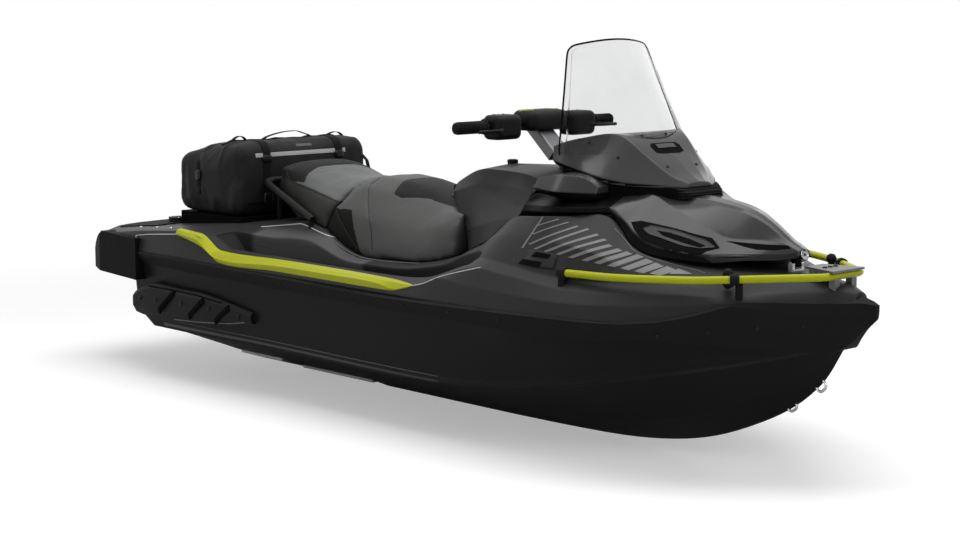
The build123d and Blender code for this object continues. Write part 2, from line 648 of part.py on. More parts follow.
def make_console():
    full = body_form(CONSOLE)
    foot, top = display_foot, display_top
    display_pod = Polyline((foot.X, foot.Z), (px(2488), foot.Z), (px(2488), top.Z), (top.X, top.Z), close=True)
    console = full + extrude(Plane.XZ * make_face(display_pod), 105, both=True)
    console -= lid_opening() - body_form(lowered(CONSOLE, LID + FIT))
    length, width, depth = GLOVE_BOX
    middle = px(2040)
    console -= block((middle - length / 2, middle + length / 2), (-width / 2, width / 2),
                     (pz(862) - depth, pz(1000)))
    x, z = lid_pivot
    console -= block((x - 60, x + 30), (-py(125), py(125)), (z - 12, z + 60))
    console += rod((x, -37, z), (x, 37, z), LID_KNUCKLE) + block((x - 4, x + 34), (-37, 37), (z - 13, z))
    console -= rod((x, -80, z), (x, 80, z), LID_PIN + PIN_RUN)
    console -= rod(up_column(0), up_column(120), COLLAR + RUN)
    console -= rod(up_column(-90), up_column(5), STEERING_SHAFT + PIN_RUN)
    console -= body_form(DECK, FIT)
    return max(console.solids(), key=lambda s: s.volume)


def make_glove_box_lid():
    lid = (body_form(CONSOLE) - body_form(lowered(CONSOLE, LID))) & lid_opening(RUN)
    lid = max(lid.solids(), key=lambda s: s.volume)
    x, z = lid_pivot
    for side in (-1, 1):
        low, high = sorted((side * 42, side * 70))
        lid += rod((x, low, z), (x, high, z), LID_KNUCKLE)
        lid += block((x - 6, x + 8), (low, high), (z, pz(1000))) & body_form(CONSOLE)
    lid += rod((x, -70, z), (x, 70, z), LID_PIN)
    knob_x, knob_z = px(2082), pz(944)
    lid += rod((knob_x, 0, knob_z - 8), (knob_x, 0, knob_z + 16), 19)
    return lid


def make_display():
    slope = (display_top - display_foot).normalized()
    out = Vector(-slope.Z, 0, slope.X)
    face = Plane(origin=display_top - slope * 41, x_dir=(0, 1, 0), z_dir=out)
    return extrude(face * RectangleRounded(*DISPLAY, 12), 4)


# ------------------------------------------------------------ steering
bar_centre = up_column(205)


def handlebar_points():
    x, _, z = bar_centre
    half = HANDLEBAR_WIDTH / 2
    return [(x - 14, -half, z + 14), (x + 8, -half + 165, z + 16), (x + 8, half - 165, z + 16),
            (x - 14, half, z + 14)]


def make_handlebar():
    return tube_along(handlebar_points(), HANDLEBAR_TUBE, [90, 90])


def make_grips():
    grips = []
    ends = handlebar_points()
    for outer, inner in ((ends[0], ends[1]), (ends[3], ends[2])):
        out, inn = Vector(*outer), Vector(*inner)
        along = (inn - out).normalized()
        grip = rod(tuple(out - along * 6), tuple(out + along * GRIP_LENGTH), GRIP_RADIUS)
        grip += rod(tuple(out + along * (GRIP_LENGTH - 8)), tuple(out + along * GRIP_LENGTH), GRIP_RADIUS + 7)
        grips += (grip - rod(tuple(out), tuple(inn), HANDLEBAR_TUBE)).solids()
    return Compound(grips)


def make_steering_neck():
    """The rectangular riser between the column and the handlebar, with its shaft."""
    plane = Plane(origin=up_column(62), x_dir=(0, 1, 0), z_dir=steering_up)
    neck = extrude(plane * RectangleRounded(84, 46, 8), 150)
    neck += rod(up_column(RUN), up_column(70), COLLAR)
    neck += rod(up_column(-84), up_column(70), STEERING_SHAFT)
    return neck - make_handlebar()


def make_bar_pad():
    """The padded dome over the middle of the handlebar."""
    x, _, z = bar_centre
    pad = Pos(x + 6, 0, z + 30) * Box(118, 196, 76)
    pad = fillet(pad.edges(), 30)
    pad -= make_handlebar()
    pad -= Plane(origin=up_column(0), z_dir=steering_up) * Box(46.6, 84.6, 430)
    return max(pad.solids(), key=lambda s: s.volume)


def make_control_pods():
    pods = []
    x, _, z = bar_centre
    for side in (-1, 1):
        pod = Pos(x + 10, side * 192, z + 12) * Box(74, 118, 72)
        pod = fillet(pod.edges(), 18)
        pods += (pod - make_handlebar()).solids()
    return Compound(pods)


def make_levers():
    """Finger levers ahead of both grips, hung from the control pods."""
    levers = []
    x, _, z = bar_centre
    for side in (-1, 1):
        start = (x + 46.8, side * 226, z + 4)
        bend = (x + 74, side * 262, z + 4)
        end = (x + 58, side * 352, z + 2)
        levers += (tube_along([start, bend, end], 6, [24]) - make_control_pods()).solids()
    return Compound(levers)


# ------------------------------------------------------------ hood, cowl, windshield
hinge_x, hinge_z = px(3408), pz(700)
HINGE_PIN = 5.0
HINGE_KNUCKLE = 10.0


def make_hood():
    hood = body_form(HOOD)
    inner = body_form(HOOD, -SHELL)
    for drop in (0, 10, 20, 32):
        hood -= Pos(0, 0, -drop) * inner
    hood = max(hood.solids(), key=lambda s: s.volume)
    arm = block((hinge_x - HINGE_KNUCKLE, hinge_x + HINGE_KNUCKLE), (-16, 16), (hinge_z, pz(800)))
    hood += arm & (body_form(HOOD, -FIT) + Pos(0, 0, -30) * body_form(HOOD, -FIT))
    hood += rod((hinge_x, -16, hinge_z), (hinge_x, 16, hinge_z), HINGE_KNUCKLE)
    hood -= rod((hinge_x, -20, hinge_z), (hinge_x, 20, hinge_z), HINGE_PIN + PIN_RUN)
    return max(hood.solids(), key=lambda s: s.volume)


def make_hood_hinge():
    """Two ears on the bow deck with the pin that the hood's knuckle turns on."""
    hinge = rod((hinge_x, -30, hinge_z), (hinge_x, 30, hinge_z), HINGE_PIN)
    for side in (-1, 1):
        low, high = sorted((side * 18, side * 30))
        hinge += rod((hinge_x, low, hinge_z), (hinge_x, high, hinge_z), 9)
        hinge += block((hinge_x - 9, hinge_x + 9), (low, high), (pz(640), hinge_z))
    hinge += block((hinge_x - 9, hinge_x + 9), (-30, 30), (pz(640), hinge_z - HINGE_KNUCKLE - RUN))
    return max((hinge - body_form(DECK, FIT)).solids(), key=lambda s: s.volume)


def make_cowl_base():
    return max((body_form(COWL_BASE) - body_form(HOOD, FIT)).solids(), key=lambda s: s.volume)


def make_cowl():
    return max((body_form(COWL) - body_form(COWL_BASE, FIT)).solids(), key=lambda s: s.volume)


SCREEN_FOOT_HALF = 330.0  # half breadths of the screen
SCREEN_TOP_HALF = 210.0


def screen_sheet(outset, thickness):
    """The curved screen before its outline is cut, moved forward by outset."""
    wires = []
    rows = ((1030, 2620, SCREEN_FOOT_HALF, 2832), (1430, 2535, SCREEN_TOP_HALF, 2602))
    for height, side_x, side_y, centre_x in rows:
        x0, x1, y, z = px(side_x) + outset, px(centre_x) + outset, py(side_y), pz(height)
        front = ThreePointArc((x0, -y, z), (x1, 0, z), (x0, y, z))
        back = ThreePointArc((x0 - thickness, -y, z), (x1 - thickness, 0, z), (x0 - thickness, y, z))
        wires.append(Wire([front, Line(front @ 1, back @ 1), back, Line(back @ 0, front @ 0)]))
    return Solid.make_loft(wires, ruled=True)


def screen_outline(inset):
    """The screen's outline seen from ahead, as a prism along X."""
    foot, top = pz(1000), pz(1415) - inset
    half_foot, half_top = py(SCREEN_FOOT_HALF) - inset, py(SCREEN_TOP_HALF) - inset
    side_end, corner, crown = pz(1356), pz(1382) - inset / 3, pz(1398) - inset
    corner_y, crown_y = half_top - 14, half_top - 46
    crown_line = ThreePointArc((crown_y, crown), (0, top), (-crown_y, crown))
    outline = [
        Line((-half_foot, foot), (half_foot, foot)),
        Line((half_foot, foot), (half_top, side_end)),
        ThreePointArc((half_top, side_end), (corner_y, corner), (crown_y, crown)),
        crown_line,
        ThreePointArc((-crown_y, crown), (-corner_y, corner), (-half_top, side_end)),
        Line((-half_top, side_end), (-half_foot, foot)),
    ]
    plane = Plane(origin=(px(2300), 0, 0), x_dir=(0, 1, 0), z_dir=(1, 0, 0))
    return extrude(plane * make_face(Wire(outline)), px(3000) - px(2300))


def make_windshield():
    glass = screen_sheet(0, GLASS) & screen_outline(TRIM_STRIP)
    glass -= body_form(COWL, FIT)
    return max(glass.solids(), key=lambda s: s.volume)


def make_windshield_trim():
    strip = screen_sheet(1.5, GLASS + 3) & (screen_outline(0) - screen_outline(TRIM_STRIP))
    strip -= body_form(COWL, FIT)
    return max(strip.solids(), key=lambda s: s.volume)


def make_mirror_pods():
    pod = side_form(MIRROR_POD) - body_form(HOOD, FIT) - body_form(COWL_BASE, FIT) - body_form(COWL, FIT)
    return both_sides(max(pod.solids(), key=lambda s: s.volume))


def make_mirror_glass():
    plane = Plane(origin=(px(min(MIRROR_POD)), py(322), pz(928)), x_dir=(0, 1, 0), z_dir=(-1, 0, 0))
    return both_sides(extrude(plane * RectangleRounded(96, 40, 14), 3))


def make_storage_bin():
    return bin_box() - (bin_box(BIN_WALL) + Pos(0, 0, 50) * bin_box(BIN_WALL))


# ------------------------------------------------------------ bow rail and eyes
rail_nose = pz(684)


def rail_points():
    half = [(2838, 514, pz(663)), (3060, 484, pz(664)), (3290, 362, pz(668)), (3600, 92, rail_nose)]
    near = [(px(x), -py(y), z) for x, y, z in half]
    far = [(px(x), py(y), z) for x, y, z in reversed(half)]
    return near + far


def make_bow_rail():
    return tube_along(rail_points(), BAR_TUBE, [500, 500, 70, 70, 500, 500])


def make_rail_mounts():
    """Split collars on the rail that stand on the deck, and the rail's end caps."""
    mounts = []
    points = rail_points()
    rear, bend = Vector(*points[0]), Vector(*points[1])
    fore_a, fore_b = Vector(*points[2]), Vector(*points[3])
    along_rear, along_fore = (bend - rear).normalized(), (fore_b - fore_a).normalized()
    fore_clamp = fore_a + (fore_b - fore_a) * 0.3
    places = ((rear + along_rear * 12, along_rear, 13, -8), (fore_clamp, along_fore, 15, 24))
    rail = make_bow_rail()
    for middle, along, half, inboard in places:
        collar = rod(tuple(middle - along * half), tuple(middle + along * half), BAR_TUBE + 6)
        foot = rod(tuple(middle + Vector(0, inboard, 0)), (middle.X, middle.Y + inboard, pz(600)), 12)
        piece = collar + foot - rail - body_form(DECK, FIT) - body_form(BUMPER, FIT)
        mounts.append(max(piece.solids(), key=lambda s: s.volume))
    cap = rod(tuple(rear - along_rear * 7), tuple(rear - along_rear * 0.0), BAR_TUBE + 3)
    mounts.append(cap - body_form(DECK, FIT))
    port = [mirror(m, Plane.XZ) for m in mounts]
    return Compound([s for m in mounts + port for s in m.solids()])


def make_rail_plate():
    """The flat plate on two posts that ties the rail's nose to the bow deck."""
    aft, fore, aft_half, fore_half = px(3480), px(3618), py(46), py(84)
    plan = Polyline((aft, aft_half), (fore, fore_half), (fore, -fore_half), (aft, -aft_half), close=True)
    seat = rail_nose + BAR_TUBE
    plate = extrude(Pos(0, 0, seat) * make_face(plan), 7)
    plate += block((aft + 3, aft + 29), (-30, 30), (pz(630), seat + 2))
    for side in (-1, 1):
        low, high = sorted((side * py(31), side * py(57)))
        plate += block((fore - 34, fore - 10), (low, high), (pz(620), seat + 2))
    plate -= make_bow_rail()
    plate -= body_form(DECK, FIT)
    return max(plate.solids(), key=lambda s: s.volume)


EYE_WIRE = 5.0
EYE_REACH = 24.0
EYE_HALF = 19.0


def u_bolt(foot, out, along):
    """A bent rod whose legs stand on the hull, out from its foot."""
    foot, out, along = Vector(*foot), Vector(*out).normalized(), Vector(*along).normalized()
    corners = [foot - out * 14 - along * EYE_HALF, foot + out * EYE_REACH - along * EYE_HALF,
               foot + out * EYE_REACH + along * EYE_HALF, foot - out * 14 + along * EYE_HALF]
    return tube_along([tuple(c) for c in corners], EYE_WIRE, [13, 13])


def make_tow_eyes():
    """Two eyes on the stem and one at each side of the transom."""
    bolts = [u_bolt((px(3515), 0, pz(318)), (0.69, 0, -0.72), (0.72, 0, 0.69)),
             u_bolt((px(3400), 0, pz(236)), (0.57, 0, -0.82), (0.82, 0, 0.57))]
    for side in (-1, 1):
        bolts.append(u_bolt((TRANSOM, side * py(420), pz(380)), (-1, 0, 0), (0, 0, 1)))
    return Compound([max((bolt - body_form(HULL, FIT)).solids(), key=lambda s: s.volume) for bolt in bolts])


def make_side_vents():
    vent = side_form(SIDE_VENT) - body_form(DECK, FIT)
    return both_sides(max(vent.solids(), key=lambda s: s.volume))


def make_sponsons():
    sponson = side_form(SPONSON) - body_form(HULL, FIT)
    return both_sides(max(sponson.solids(), key=lambda s: s.volume))


# ------------------------------------------------------------ jet pump
nozzle_pivot = TRANSOM + 60
bucket_pivot = (TRANSOM + 90, PUMP_HEIGHT)
PIVOT_PIN = 6.0
HOUSING = PUMP_BORE + PUMP_WALL
OUTLET_STEP = 22.0        # the housing's outlet lies this far behind the nozzle's pivot
TAPER_AFT, TAPER_FORE = 40.0, 70.0     # its taper, forward of that pivot
HUB_AFT, HUB_FORE, HUB_RADIUS = 100.0, 180.0, 26.0
IMPELLER_MIDDLE = 250.0
IMPELLER_HALF = 42.0
LUG = 10.0
PIVOT_LUG = NOZZLE_BORE + NOZZLE_WALL + 36   # where the nozzle's lugs begin, off the axis
ARM_IN, ARM_OUT = 100.0, 108.0         # the plates that carry the bucket
BUCKET_HALF = 128.0
BUCKET_CHEEK = 8.0


def ring_along_x(profile):
    """A solid of revolution about the pump's axis from (x, radius) corners."""
    corners = [(x, PUMP_HEIGHT + r) for x, r in profile]
    axis = Axis((0, 0, PUMP_HEIGHT), (1, 0, 0))
    return revolve(Plane.XZ * make_face(Polyline(*corners, close=True)), axis)


def make_ride_plate():
    half, thick, keel_gap = TUNNEL_HALF_WIDTH, 12, 6
    wing = keel_gap + half * 0.32
    side = Polyline((-half, wing), (0, keel_gap), (half, wing), (half, wing + thick), (0, keel_gap + thick),
                    (-half, wing + thick), close=True)
    aft = px(575)
    plane = Plane(origin=(aft, 0, 0), x_dir=(0, 1, 0), z_dir=(1, 0, 0))
    return extrude(plane * make_face(side), pump_front - aft)


def make_intake_grate():
    aft, fore = pump_front + 50, pump_front + 500
    grate = block((aft, fore), (-PUMP_BORE, PUMP_BORE), (24, 35))
    bars = 4
    pitch = 2 * PUMP_BORE / bars
    for k in range(bars):
        middle = -PUMP_BORE + pitch * (k + 0.5)
        grate -= block((aft + 26, fore - 26), (middle - pitch / 2 + 6, middle + pitch / 2 - 6), (0, 60))
    return grate


def make_pump_housing():
    outlet = nozzle_pivot - OUTLET_STEP
    taper_aft, taper_fore = nozzle_pivot + TAPER_AFT, nozzle_pivot + TAPER_FORE
    hub_aft, hub_fore = nozzle_pivot + HUB_AFT, nozzle_pivot + HUB_FORE
    housing = ring_along_x([
        (pump_front, PUMP_BORE), (pump_front, HOUSING + 20), (pump_front - 18, HOUSING + 20),
        (pump_front - 18, HOUSING), (taper_fore, HOUSING), (taper_aft, NOZZLE_BORE + 10),
        (outlet, NOZZLE_BORE + 8), (outlet, NOZZLE_BORE - 4), (taper_fore, PUMP_BORE)])
    bearing = SHAFT_RADIUS + PIN_RUN
    housing += ring_along_x([(hub_aft, bearing), (hub_aft, HUB_RADIUS), (hub_fore, HUB_RADIUS),
                             (hub_fore, bearing)])
    vanes = 5
    for k in range(vanes):
        vane = block((hub_aft + 5, hub_fore - 15), (-3, 3), (HUB_RADIUS - 6, PUMP_BORE + 2))
        housing += Pos(0, 0, PUMP_HEIGHT) * Rot(360 / vanes * k, 0, 0) * vane
    for up in (-1, 1):
        low, high = sorted((PUMP_HEIGHT + up * PIVOT_LUG, PUMP_HEIGHT + up * (PIVOT_LUG + LUG)))
        lug = block((nozzle_pivot - 16, hub_aft), (-20, 20), (low, high))
        low, high = sorted((PUMP_HEIGHT + up * (HOUSING - 8), PUMP_HEIGHT + up * (PIVOT_LUG + LUG)))
        lug += block((taper_fore + 4, hub_aft), (-20, 20), (low, high))
        lug -= rod((nozzle_pivot, 0, PUMP_HEIGHT + up * HUB_RADIUS),
                   (nozzle_pivot, 0, PUMP_HEIGHT + up * 2 * PIVOT_LUG), PIVOT_PIN + PIN_RUN)
        housing += lug
    x, z = bucket_pivot
    for side in (-1, 1):
        low, high = sorted((side * ARM_IN, side * ARM_OUT))
        arm = block((x, taper_fore + 30), (low, high), (z - 14, z + 14)) + rod((x, low, z), (x, high, z), 14)
        low, high = sorted((side * (HOUSING - 10), side * ARM_OUT))
        arm += block((taper_fore + 4, taper_fore + 30), (low, high), (z - 14, z + 14))
        arm += rod((x, side * ARM_IN, z), (x, side * (BUCKET_HALF - BUCKET_CHEEK - 2), z), 12)
        arm += rod((x, side * ARM_IN, z), (x, side * (BUCKET_HALF + 3), z), PIVOT_PIN)
        arm -= ring_along_x([(x - 100, 0), (x - 100, HOUSING - 10), (x + 100, HOUSING - 10), (x + 100, 0)])
        housing += arm
    return max(housing.solids(), key=lambda s: s.volume)


def make_impeller():
    radius = PUMP_BORE - IMPELLER_GAP
    middle = nozzle_pivot + IMPELLER_MIDDLE
    aft, fore = middle - IMPELLER_HALF, middle + IMPELLER_HALF
    impeller = ring_along_x([(aft - 14, 0), (aft - 14, 22), (aft, 28), (fore, HUB_RADIUS),
                             (fore + 20, SHAFT_RADIUS), (fore + 20, 0)])
    blades = 4
    for k in range(blades):
        blade = Box(2 * IMPELLER_HALF + 8, 5, radius + 10)
        blade = Rot(0, 0, 42) * Pos(0, 0, (radius + 10) / 2) * blade
        blade = Pos(middle, 0, PUMP_HEIGHT) * Rot(360 / blades * k, 0, 0) * blade
        impeller += blade & ring_along_x([(aft, 0), (aft, radius), (fore, radius), (fore, 0)])
    start = nozzle_pivot + HUB_AFT + 20
    return impeller + rod((start, 0, PUMP_HEIGHT), (engine_aft - FIT, 0, PUMP_HEIGHT), SHAFT_RADIUS)


def make_steering_nozzle():
    front, rear = nozzle_pivot + 14, nozzle_pivot + 14 - NOZZLE_LENGTH
    mouth = NOZZLE_BORE + 26
    nozzle = ring_along_x([(front, mouth), (front, mouth + NOZZLE_WALL), (front - 40, mouth + NOZZLE_WALL),
                           (rear, NOZZLE_BORE + NOZZLE_WALL), (rear, NOZZLE_BORE), (front - 40, mouth - 2)])
    for up in (-1, 1):
        foot, face = PUMP_HEIGHT + up * (mouth + 3), PUMP_HEIGHT + up * (PIVOT_LUG - FIT)
        end = PUMP_HEIGHT + up * (PIVOT_LUG + LUG - 1)
        nozzle += rod((nozzle_pivot, 0, foot), (nozzle_pivot, 0, face), 12)
        nozzle += rod((nozzle_pivot, 0, foot), (nozzle_pivot, 0, end), PIVOT_PIN)
    return nozzle


def make_reverse_bucket():
    """A curved scoop on two arms, stored above the nozzle."""
    x, z = bucket_pivot
    inner, outer = BUCKET_REACH, BUCKET_REACH + BUCKET_WALL
    half = BUCKET_HALF
    low_angle, high_angle = 180 - 28, 180 - 82

    def at(radius, angle):
        turn = math.radians(angle)
        return x + radius * math.cos(turn), z + radius * math.sin(turn)

    middle = (low_angle + high_angle) / 2
    scoop = Wire([
        ThreePointArc(at(outer, low_angle), at(outer, middle), at(outer, high_angle)),
        Line(at(outer, high_angle), at(inner, high_angle)),
        ThreePointArc(at(inner, high_angle), at(inner, middle), at(inner, low_angle)),
        Line(at(inner, low_angle), at(outer, low_angle)),
    ])
    bucket = extrude(Plane.XZ * make_face(scoop), half, both=True)
    cheek = Wire([
        Line(at(0, 0), at(outer - 1, low_angle)),
        ThreePointArc(at(outer - 1, low_angle), at(outer - 1, middle), at(outer - 1, high_angle)),
        Line(at(outer - 1, high_angle), at(0, 0)),
    ])
    for side in (-1, 1):
        low, high = sorted((side * (half - BUCKET_CHEEK), side * half))
        outside = Plane(origin=(0, high, 0), x_dir=(1, 0, 0), z_dir=(0, -1, 0))
        arm = extrude(outside * make_face(cheek), BUCKET_CHEEK)
        arm += rod((x, low, z), (x, high, z), 20)
        arm -= rod((x, low - 1, z), (x, high + 1, z), PIVOT_PIN + PIN_RUN)
        bucket += arm
    return bucket


# ------------------------------------------------------------ boarding ladder
ladder_pivot = (px(62), pz(396))
ladder_inner = py(185)


def make_ladder():
    x, z = ladder_pivot
    near, far = ladder_inner, ladder_inner + LADDER_WIDTH
    reach = x + LADDER_DROP
    ladder = tube_along([(x, near, z), (reach, near, z), (reach, far, z), (x, far, z)], LADDER_TUBE, [30, 30])
    for y in (near, far):
        ladder += rod((x, y - 12, z), (x, y + 12, z), 14)
    ladder += rod((x, near - 24, z), (x, far + 24, z), PIVOT_PIN)
    return ladder


def make_platform_base():
    base = make_platform()
    x, z = ladder_pivot
    for low in (ladder_inner - 26, ladder_inner + LADDER_WIDTH + 16):
        ear = block((x - 14, x + 14), (low, low + 10), (z, pz(424))) + rod((x, low, z), (x, low + 10, z), 14)
        base += ear - rod((x, low - 5, z), (x, low + 15, z), PIVOT_PIN + PIN_RUN)
    return base


# ------------------------------------------------------------ export
PARTS = {
    "hull": make_hull,
    "deck": make_deck,
    "drain_fittings": make_drain_fittings,
    "platform_base": make_platform_base,
    "stern_bumpers": make_stern_bumpers,
    "rub_rails": make_rub_rail,
    "bow_bumper": make_bow_bumper,
    "gunwale_trim": make_trim,
    "foot_mats": make_foot_mats,
    "platform_mat": make_platform_mat,
    "saddle": make_saddle,
    "rear_seat": make_rear_seat,
    "grab_bar": make_grab_bar,
    "cargo_tray": make_cargo_tray,
    "cargo_anchors": make_cargo_anchors,
    "cargo_bag": bag_shape,
    "bag_straps": make_bag_straps,
    "console": make_console,
    "glove_box_lid": make_glove_box_lid,
    "display": make_display,
    "handlebar": make_handlebar,
    "grips": make_grips,
    "steering_neck": make_steering_neck,
    "bar_pad": make_bar_pad,
    "control_pods": make_control_pods,
    "levers": make_levers,
    "hood": make_hood,
    "hood_hinge": make_hood_hinge,
    "cowl_base": make_cowl_base,
    "cowl": make_cowl,
    "windshield": make_windshield,
    "windshield_trim": make_windshield_trim,
    "mirror_pods": make_mirror_pods,
    "mirror_glass": make_mirror_glass,
    "storage_bin": make_storage_bin,
    "bow_rail": make_bow_rail,
    "rail_mounts": make_rail_mounts,
    "rail_plate": make_rail_plate,
    "tow_eyes": make_tow_eyes,
    "side_vents": make_side_vents,
    "sponsons": make_sponsons,
    "ride_plate": make_ride_plate,
    "intake_grate": make_intake_grate,
    "pump_housing": make_pump_housing,
    "impeller": make_impeller,
    "steering_nozzle": make_steering_nozzle,
    "reverse_bucket": make_reverse_bucket,
    "boarding_ladder": make_ladder,
    "engine": engine_box,
}

os.makedirs("parts", exist_ok=True)
to_waterline = Pos(-LENGTH / 2, 0, -DRAFT)
for name, make in PARTS.items():
    export_step(to_waterline * make(), f"parts/{name}.step")
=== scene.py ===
# %% [markdown]
# # A touring personal watercraft, dressed in Blender
#
# The CAD model already has the true sizes: hull, deck, pump, hood, rails. This script loads it as a
# fixed frame and gives it what a workshop adds last: gelcoat, vinyl, webbing, screws, stitched seams.
# Nothing here moves a CAD part. Soft pieces are built new in the room that their CAD solids hold.
# The measures of the CAD box are kept.

import json
import math

import bmesh
import bpy
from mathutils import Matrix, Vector, noise
from mathutils.bvhtree import BVHTree
from mathutils.kdtree import KDTree


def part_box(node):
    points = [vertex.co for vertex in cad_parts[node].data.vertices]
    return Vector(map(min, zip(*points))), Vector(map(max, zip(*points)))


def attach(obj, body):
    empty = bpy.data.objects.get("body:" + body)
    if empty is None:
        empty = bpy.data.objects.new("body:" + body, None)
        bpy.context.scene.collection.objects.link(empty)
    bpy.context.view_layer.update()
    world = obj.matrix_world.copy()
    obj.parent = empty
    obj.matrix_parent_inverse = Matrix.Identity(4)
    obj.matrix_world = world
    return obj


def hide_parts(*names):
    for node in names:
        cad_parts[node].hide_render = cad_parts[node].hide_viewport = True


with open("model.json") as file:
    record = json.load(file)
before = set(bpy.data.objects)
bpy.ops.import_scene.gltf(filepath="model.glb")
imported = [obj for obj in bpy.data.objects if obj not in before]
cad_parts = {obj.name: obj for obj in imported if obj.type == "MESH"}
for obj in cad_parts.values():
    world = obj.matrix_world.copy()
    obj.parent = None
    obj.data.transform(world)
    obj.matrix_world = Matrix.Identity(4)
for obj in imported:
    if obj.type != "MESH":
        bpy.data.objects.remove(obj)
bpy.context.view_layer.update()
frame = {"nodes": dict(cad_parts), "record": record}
nodes = frame["nodes"]

# %% [markdown]
# Boat builders measure a hull from its stern, its centreline and its keel. The frame's origin is on
# the waterline at mid length instead, so one small helper turns the builder's measures into the
# frame's. Its two offsets are read from the CAD nodes, and every place below is written through it.

# %% Builder's measures
stern_x = min(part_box(name)[0].x for name in nodes)
keel_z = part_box("hull")[0].z


def at(x, y, z):
    """The point that far from the stern, the centreline and the keel, in millimetres."""
    return Vector((stern_x + x / 1000, y / 1000, keel_z + z / 1000))


print("stern at", round(stern_x, 4), "keel at", round(keel_z, 4))

# %% [markdown]
# The camera comes first, because every later choice is judged through it. It stands ahead of the
# craft on its starboard side, a little above deck height, with a long lens that keeps the lines
# nearly parallel. A camera looks along its own -Z, so `to_track_quat` turns it at the target.

# %% Camera
view_data = bpy.data.cameras.new("bow_quarter_view")
view_data.lens, view_data.sensor_width = 75.0, 36.0
view_camera = bpy.data.objects.new("bow_quarter_view", view_data)
bpy.context.scene.collection.objects.link(view_camera)
view_camera.location = at(7409, -5161, 1576)
looking = at(1904, 0, 529) - view_camera.location
view_camera.rotation_euler = looking.to_track_quat("-Z", "Y").to_euler()
bpy.context.scene.camera = view_camera
bpy.context.scene.view_settings.view_transform = "Standard"
print("camera", round(looking.length, 3), "m from the craft")

# %% [markdown]
# A dark craft is shown by what it reflects. Big soft lamps give long quiet highlights along the
# creases, where a small lamp would give hard dots: one large panel above, one off the bow, one along
# each side, and a weak one off the stern. The sky is white for the camera and for mirrors, and much
# weaker as a lamp, which Light Path's rays make possible.

# %% Lamps and sky
def soft_lamp(name, place, target, size, watts):
    data = bpy.data.lights.new(name, "AREA")
    data.shape, data.size, data.size_y, data.energy = "RECTANGLE", size[0], size[1], watts
    lamp = bpy.data.objects.new(name, data)
    bpy.context.scene.collection.objects.link(lamp)
    lamp.location = place
    lamp.rotation_euler = (Vector(target) - Vector(place)).to_track_quat("-Z", "Y").to_euler()


# Each lamp's name, its place, what it is aimed at, its two sides in metres and its watts.
PANELS = (
    ("overhead_panel", (0.3, -0.2, 4.6), (0, 0, 0.3), (6.0, 3.2), 205),
    ("bow_panel", (5.6, -1.2, 3.0), (0.4, 0, 0.4), (2.4, 1.8), 62),
    ("stern_quarter_panel", (-4.6, -3.6, 2.6), (-0.6, 0, 0.2), (2.4, 2.0), 14),
    ("starboard_panel", (0.2, -5.6, 1.6), (0, 0, 0.1), (4.6, 1.4), 16),
    ("port_panel", (0.0, 5.4, 3.0), (0, 0, 0.3), (4.0, 2.0), 40),
)
for panel in PANELS:
    soft_lamp(*panel)
SKY_AS_LAMP = 0.26

sky = bpy.data.worlds.new("studio_sky")
sky.use_nodes = True
bpy.context.scene.world = sky
sky_nodes, sky_links = sky.node_tree.nodes, sky.node_tree.links
sky_nodes.clear()
rays = sky_nodes.new("ShaderNodeLightPath")
seen = sky_nodes.new("ShaderNodeMath")
seen.operation = "MAXIMUM"
seen_through = sky_nodes.new("ShaderNodeMath")
seen_through.operation = "MAXIMUM"
level = sky_nodes.new("ShaderNodeMapRange")
level.inputs["To Min"].default_value = SKY_AS_LAMP
level.inputs["To Max"].default_value = 1.0
white = sky_nodes.new("ShaderNodeBackground")
white.inputs["Color"].default_value = (1, 1, 1, 1)
sky_out = sky_nodes.new("ShaderNodeOutputWorld")
sky_links.new(rays.outputs["Is Camera Ray"], seen.inputs[0])
sky_links.new(rays.outputs["Is Glossy Ray"], seen.inputs[1])
sky_links.new(seen.outputs[0], seen_through.inputs[0])
sky_links.new(rays.outputs["Is Transmission Ray"], seen_through.inputs[1])
sky_links.new(seen_through.outputs[0], level.inputs["Value"])
sky_links.new(level.outputs["Result"], white.inputs["Strength"])
sky_links.new(white.outputs["Background"], sky_out.inputs["Surface"])
print(len(PANELS), "lamps and a white sky")

# %% [markdown]
# ## Shared surface effects
#
# Real finishes are never one flat colour. Gelcoat drifts a little in tone, edges rub pale and take a
# painted sheen, dust lies on what faces up, moulded plastic has pebbled grain and cloth has threads.
# Several materials use each effect, so each one is a shader node group with named sockets, built
# once. A group hands out only colours, masks and heights: the shaders stay in the materials, where
# the export can read them.

# %% A helper that wires nodes
def wire(tree, kind, values=(), **settings):
    """Add a node. A value is a plain number or colour, or another node's output to link."""
    node = tree.nodes.new(kind)
    for name, value in settings.items():
        setattr(node, name, value)
    for key, value in dict(values).items():
        socket = node.inputs[key]
        if isinstance(value, bpy.types.NodeSocket):
            tree.links.new(value, socket)
        else:
            socket.default_value = value
    return node


def maths(tree, operation, *values):
    """The output of a Math node."""
    return wire(tree, "ShaderNodeMath", enumerate(values), operation=operation).outputs[0]


def ranged(tree, value, from_min=0.0, from_max=1.0, to_min=0.0, to_max=1.0, **settings):
    """The output of a Map Range node, which stretches one range of a value over another."""
    ends = {"From Min": from_min, "From Max": from_max, "To Min": to_min, "To Max": to_max}
    return wire(tree, "ShaderNodeMapRange", {"Value": value, **ends}, **settings).outputs[0]


def effect(name, takes, gives):
    """An empty node group with its named sockets, and its two end nodes."""
    group = bpy.data.node_groups.new(name, "ShaderNodeTree")
    for label, kind, value in takes:
        group.interface.new_socket(name=label, in_out="INPUT", socket_type=kind).default_value = value
    for label, kind in gives:
        group.interface.new_socket(name=label, in_out="OUTPUT", socket_type=kind)
    return group, group.nodes.new("NodeGroupInput").outputs, group.nodes.new("NodeGroupOutput").inputs


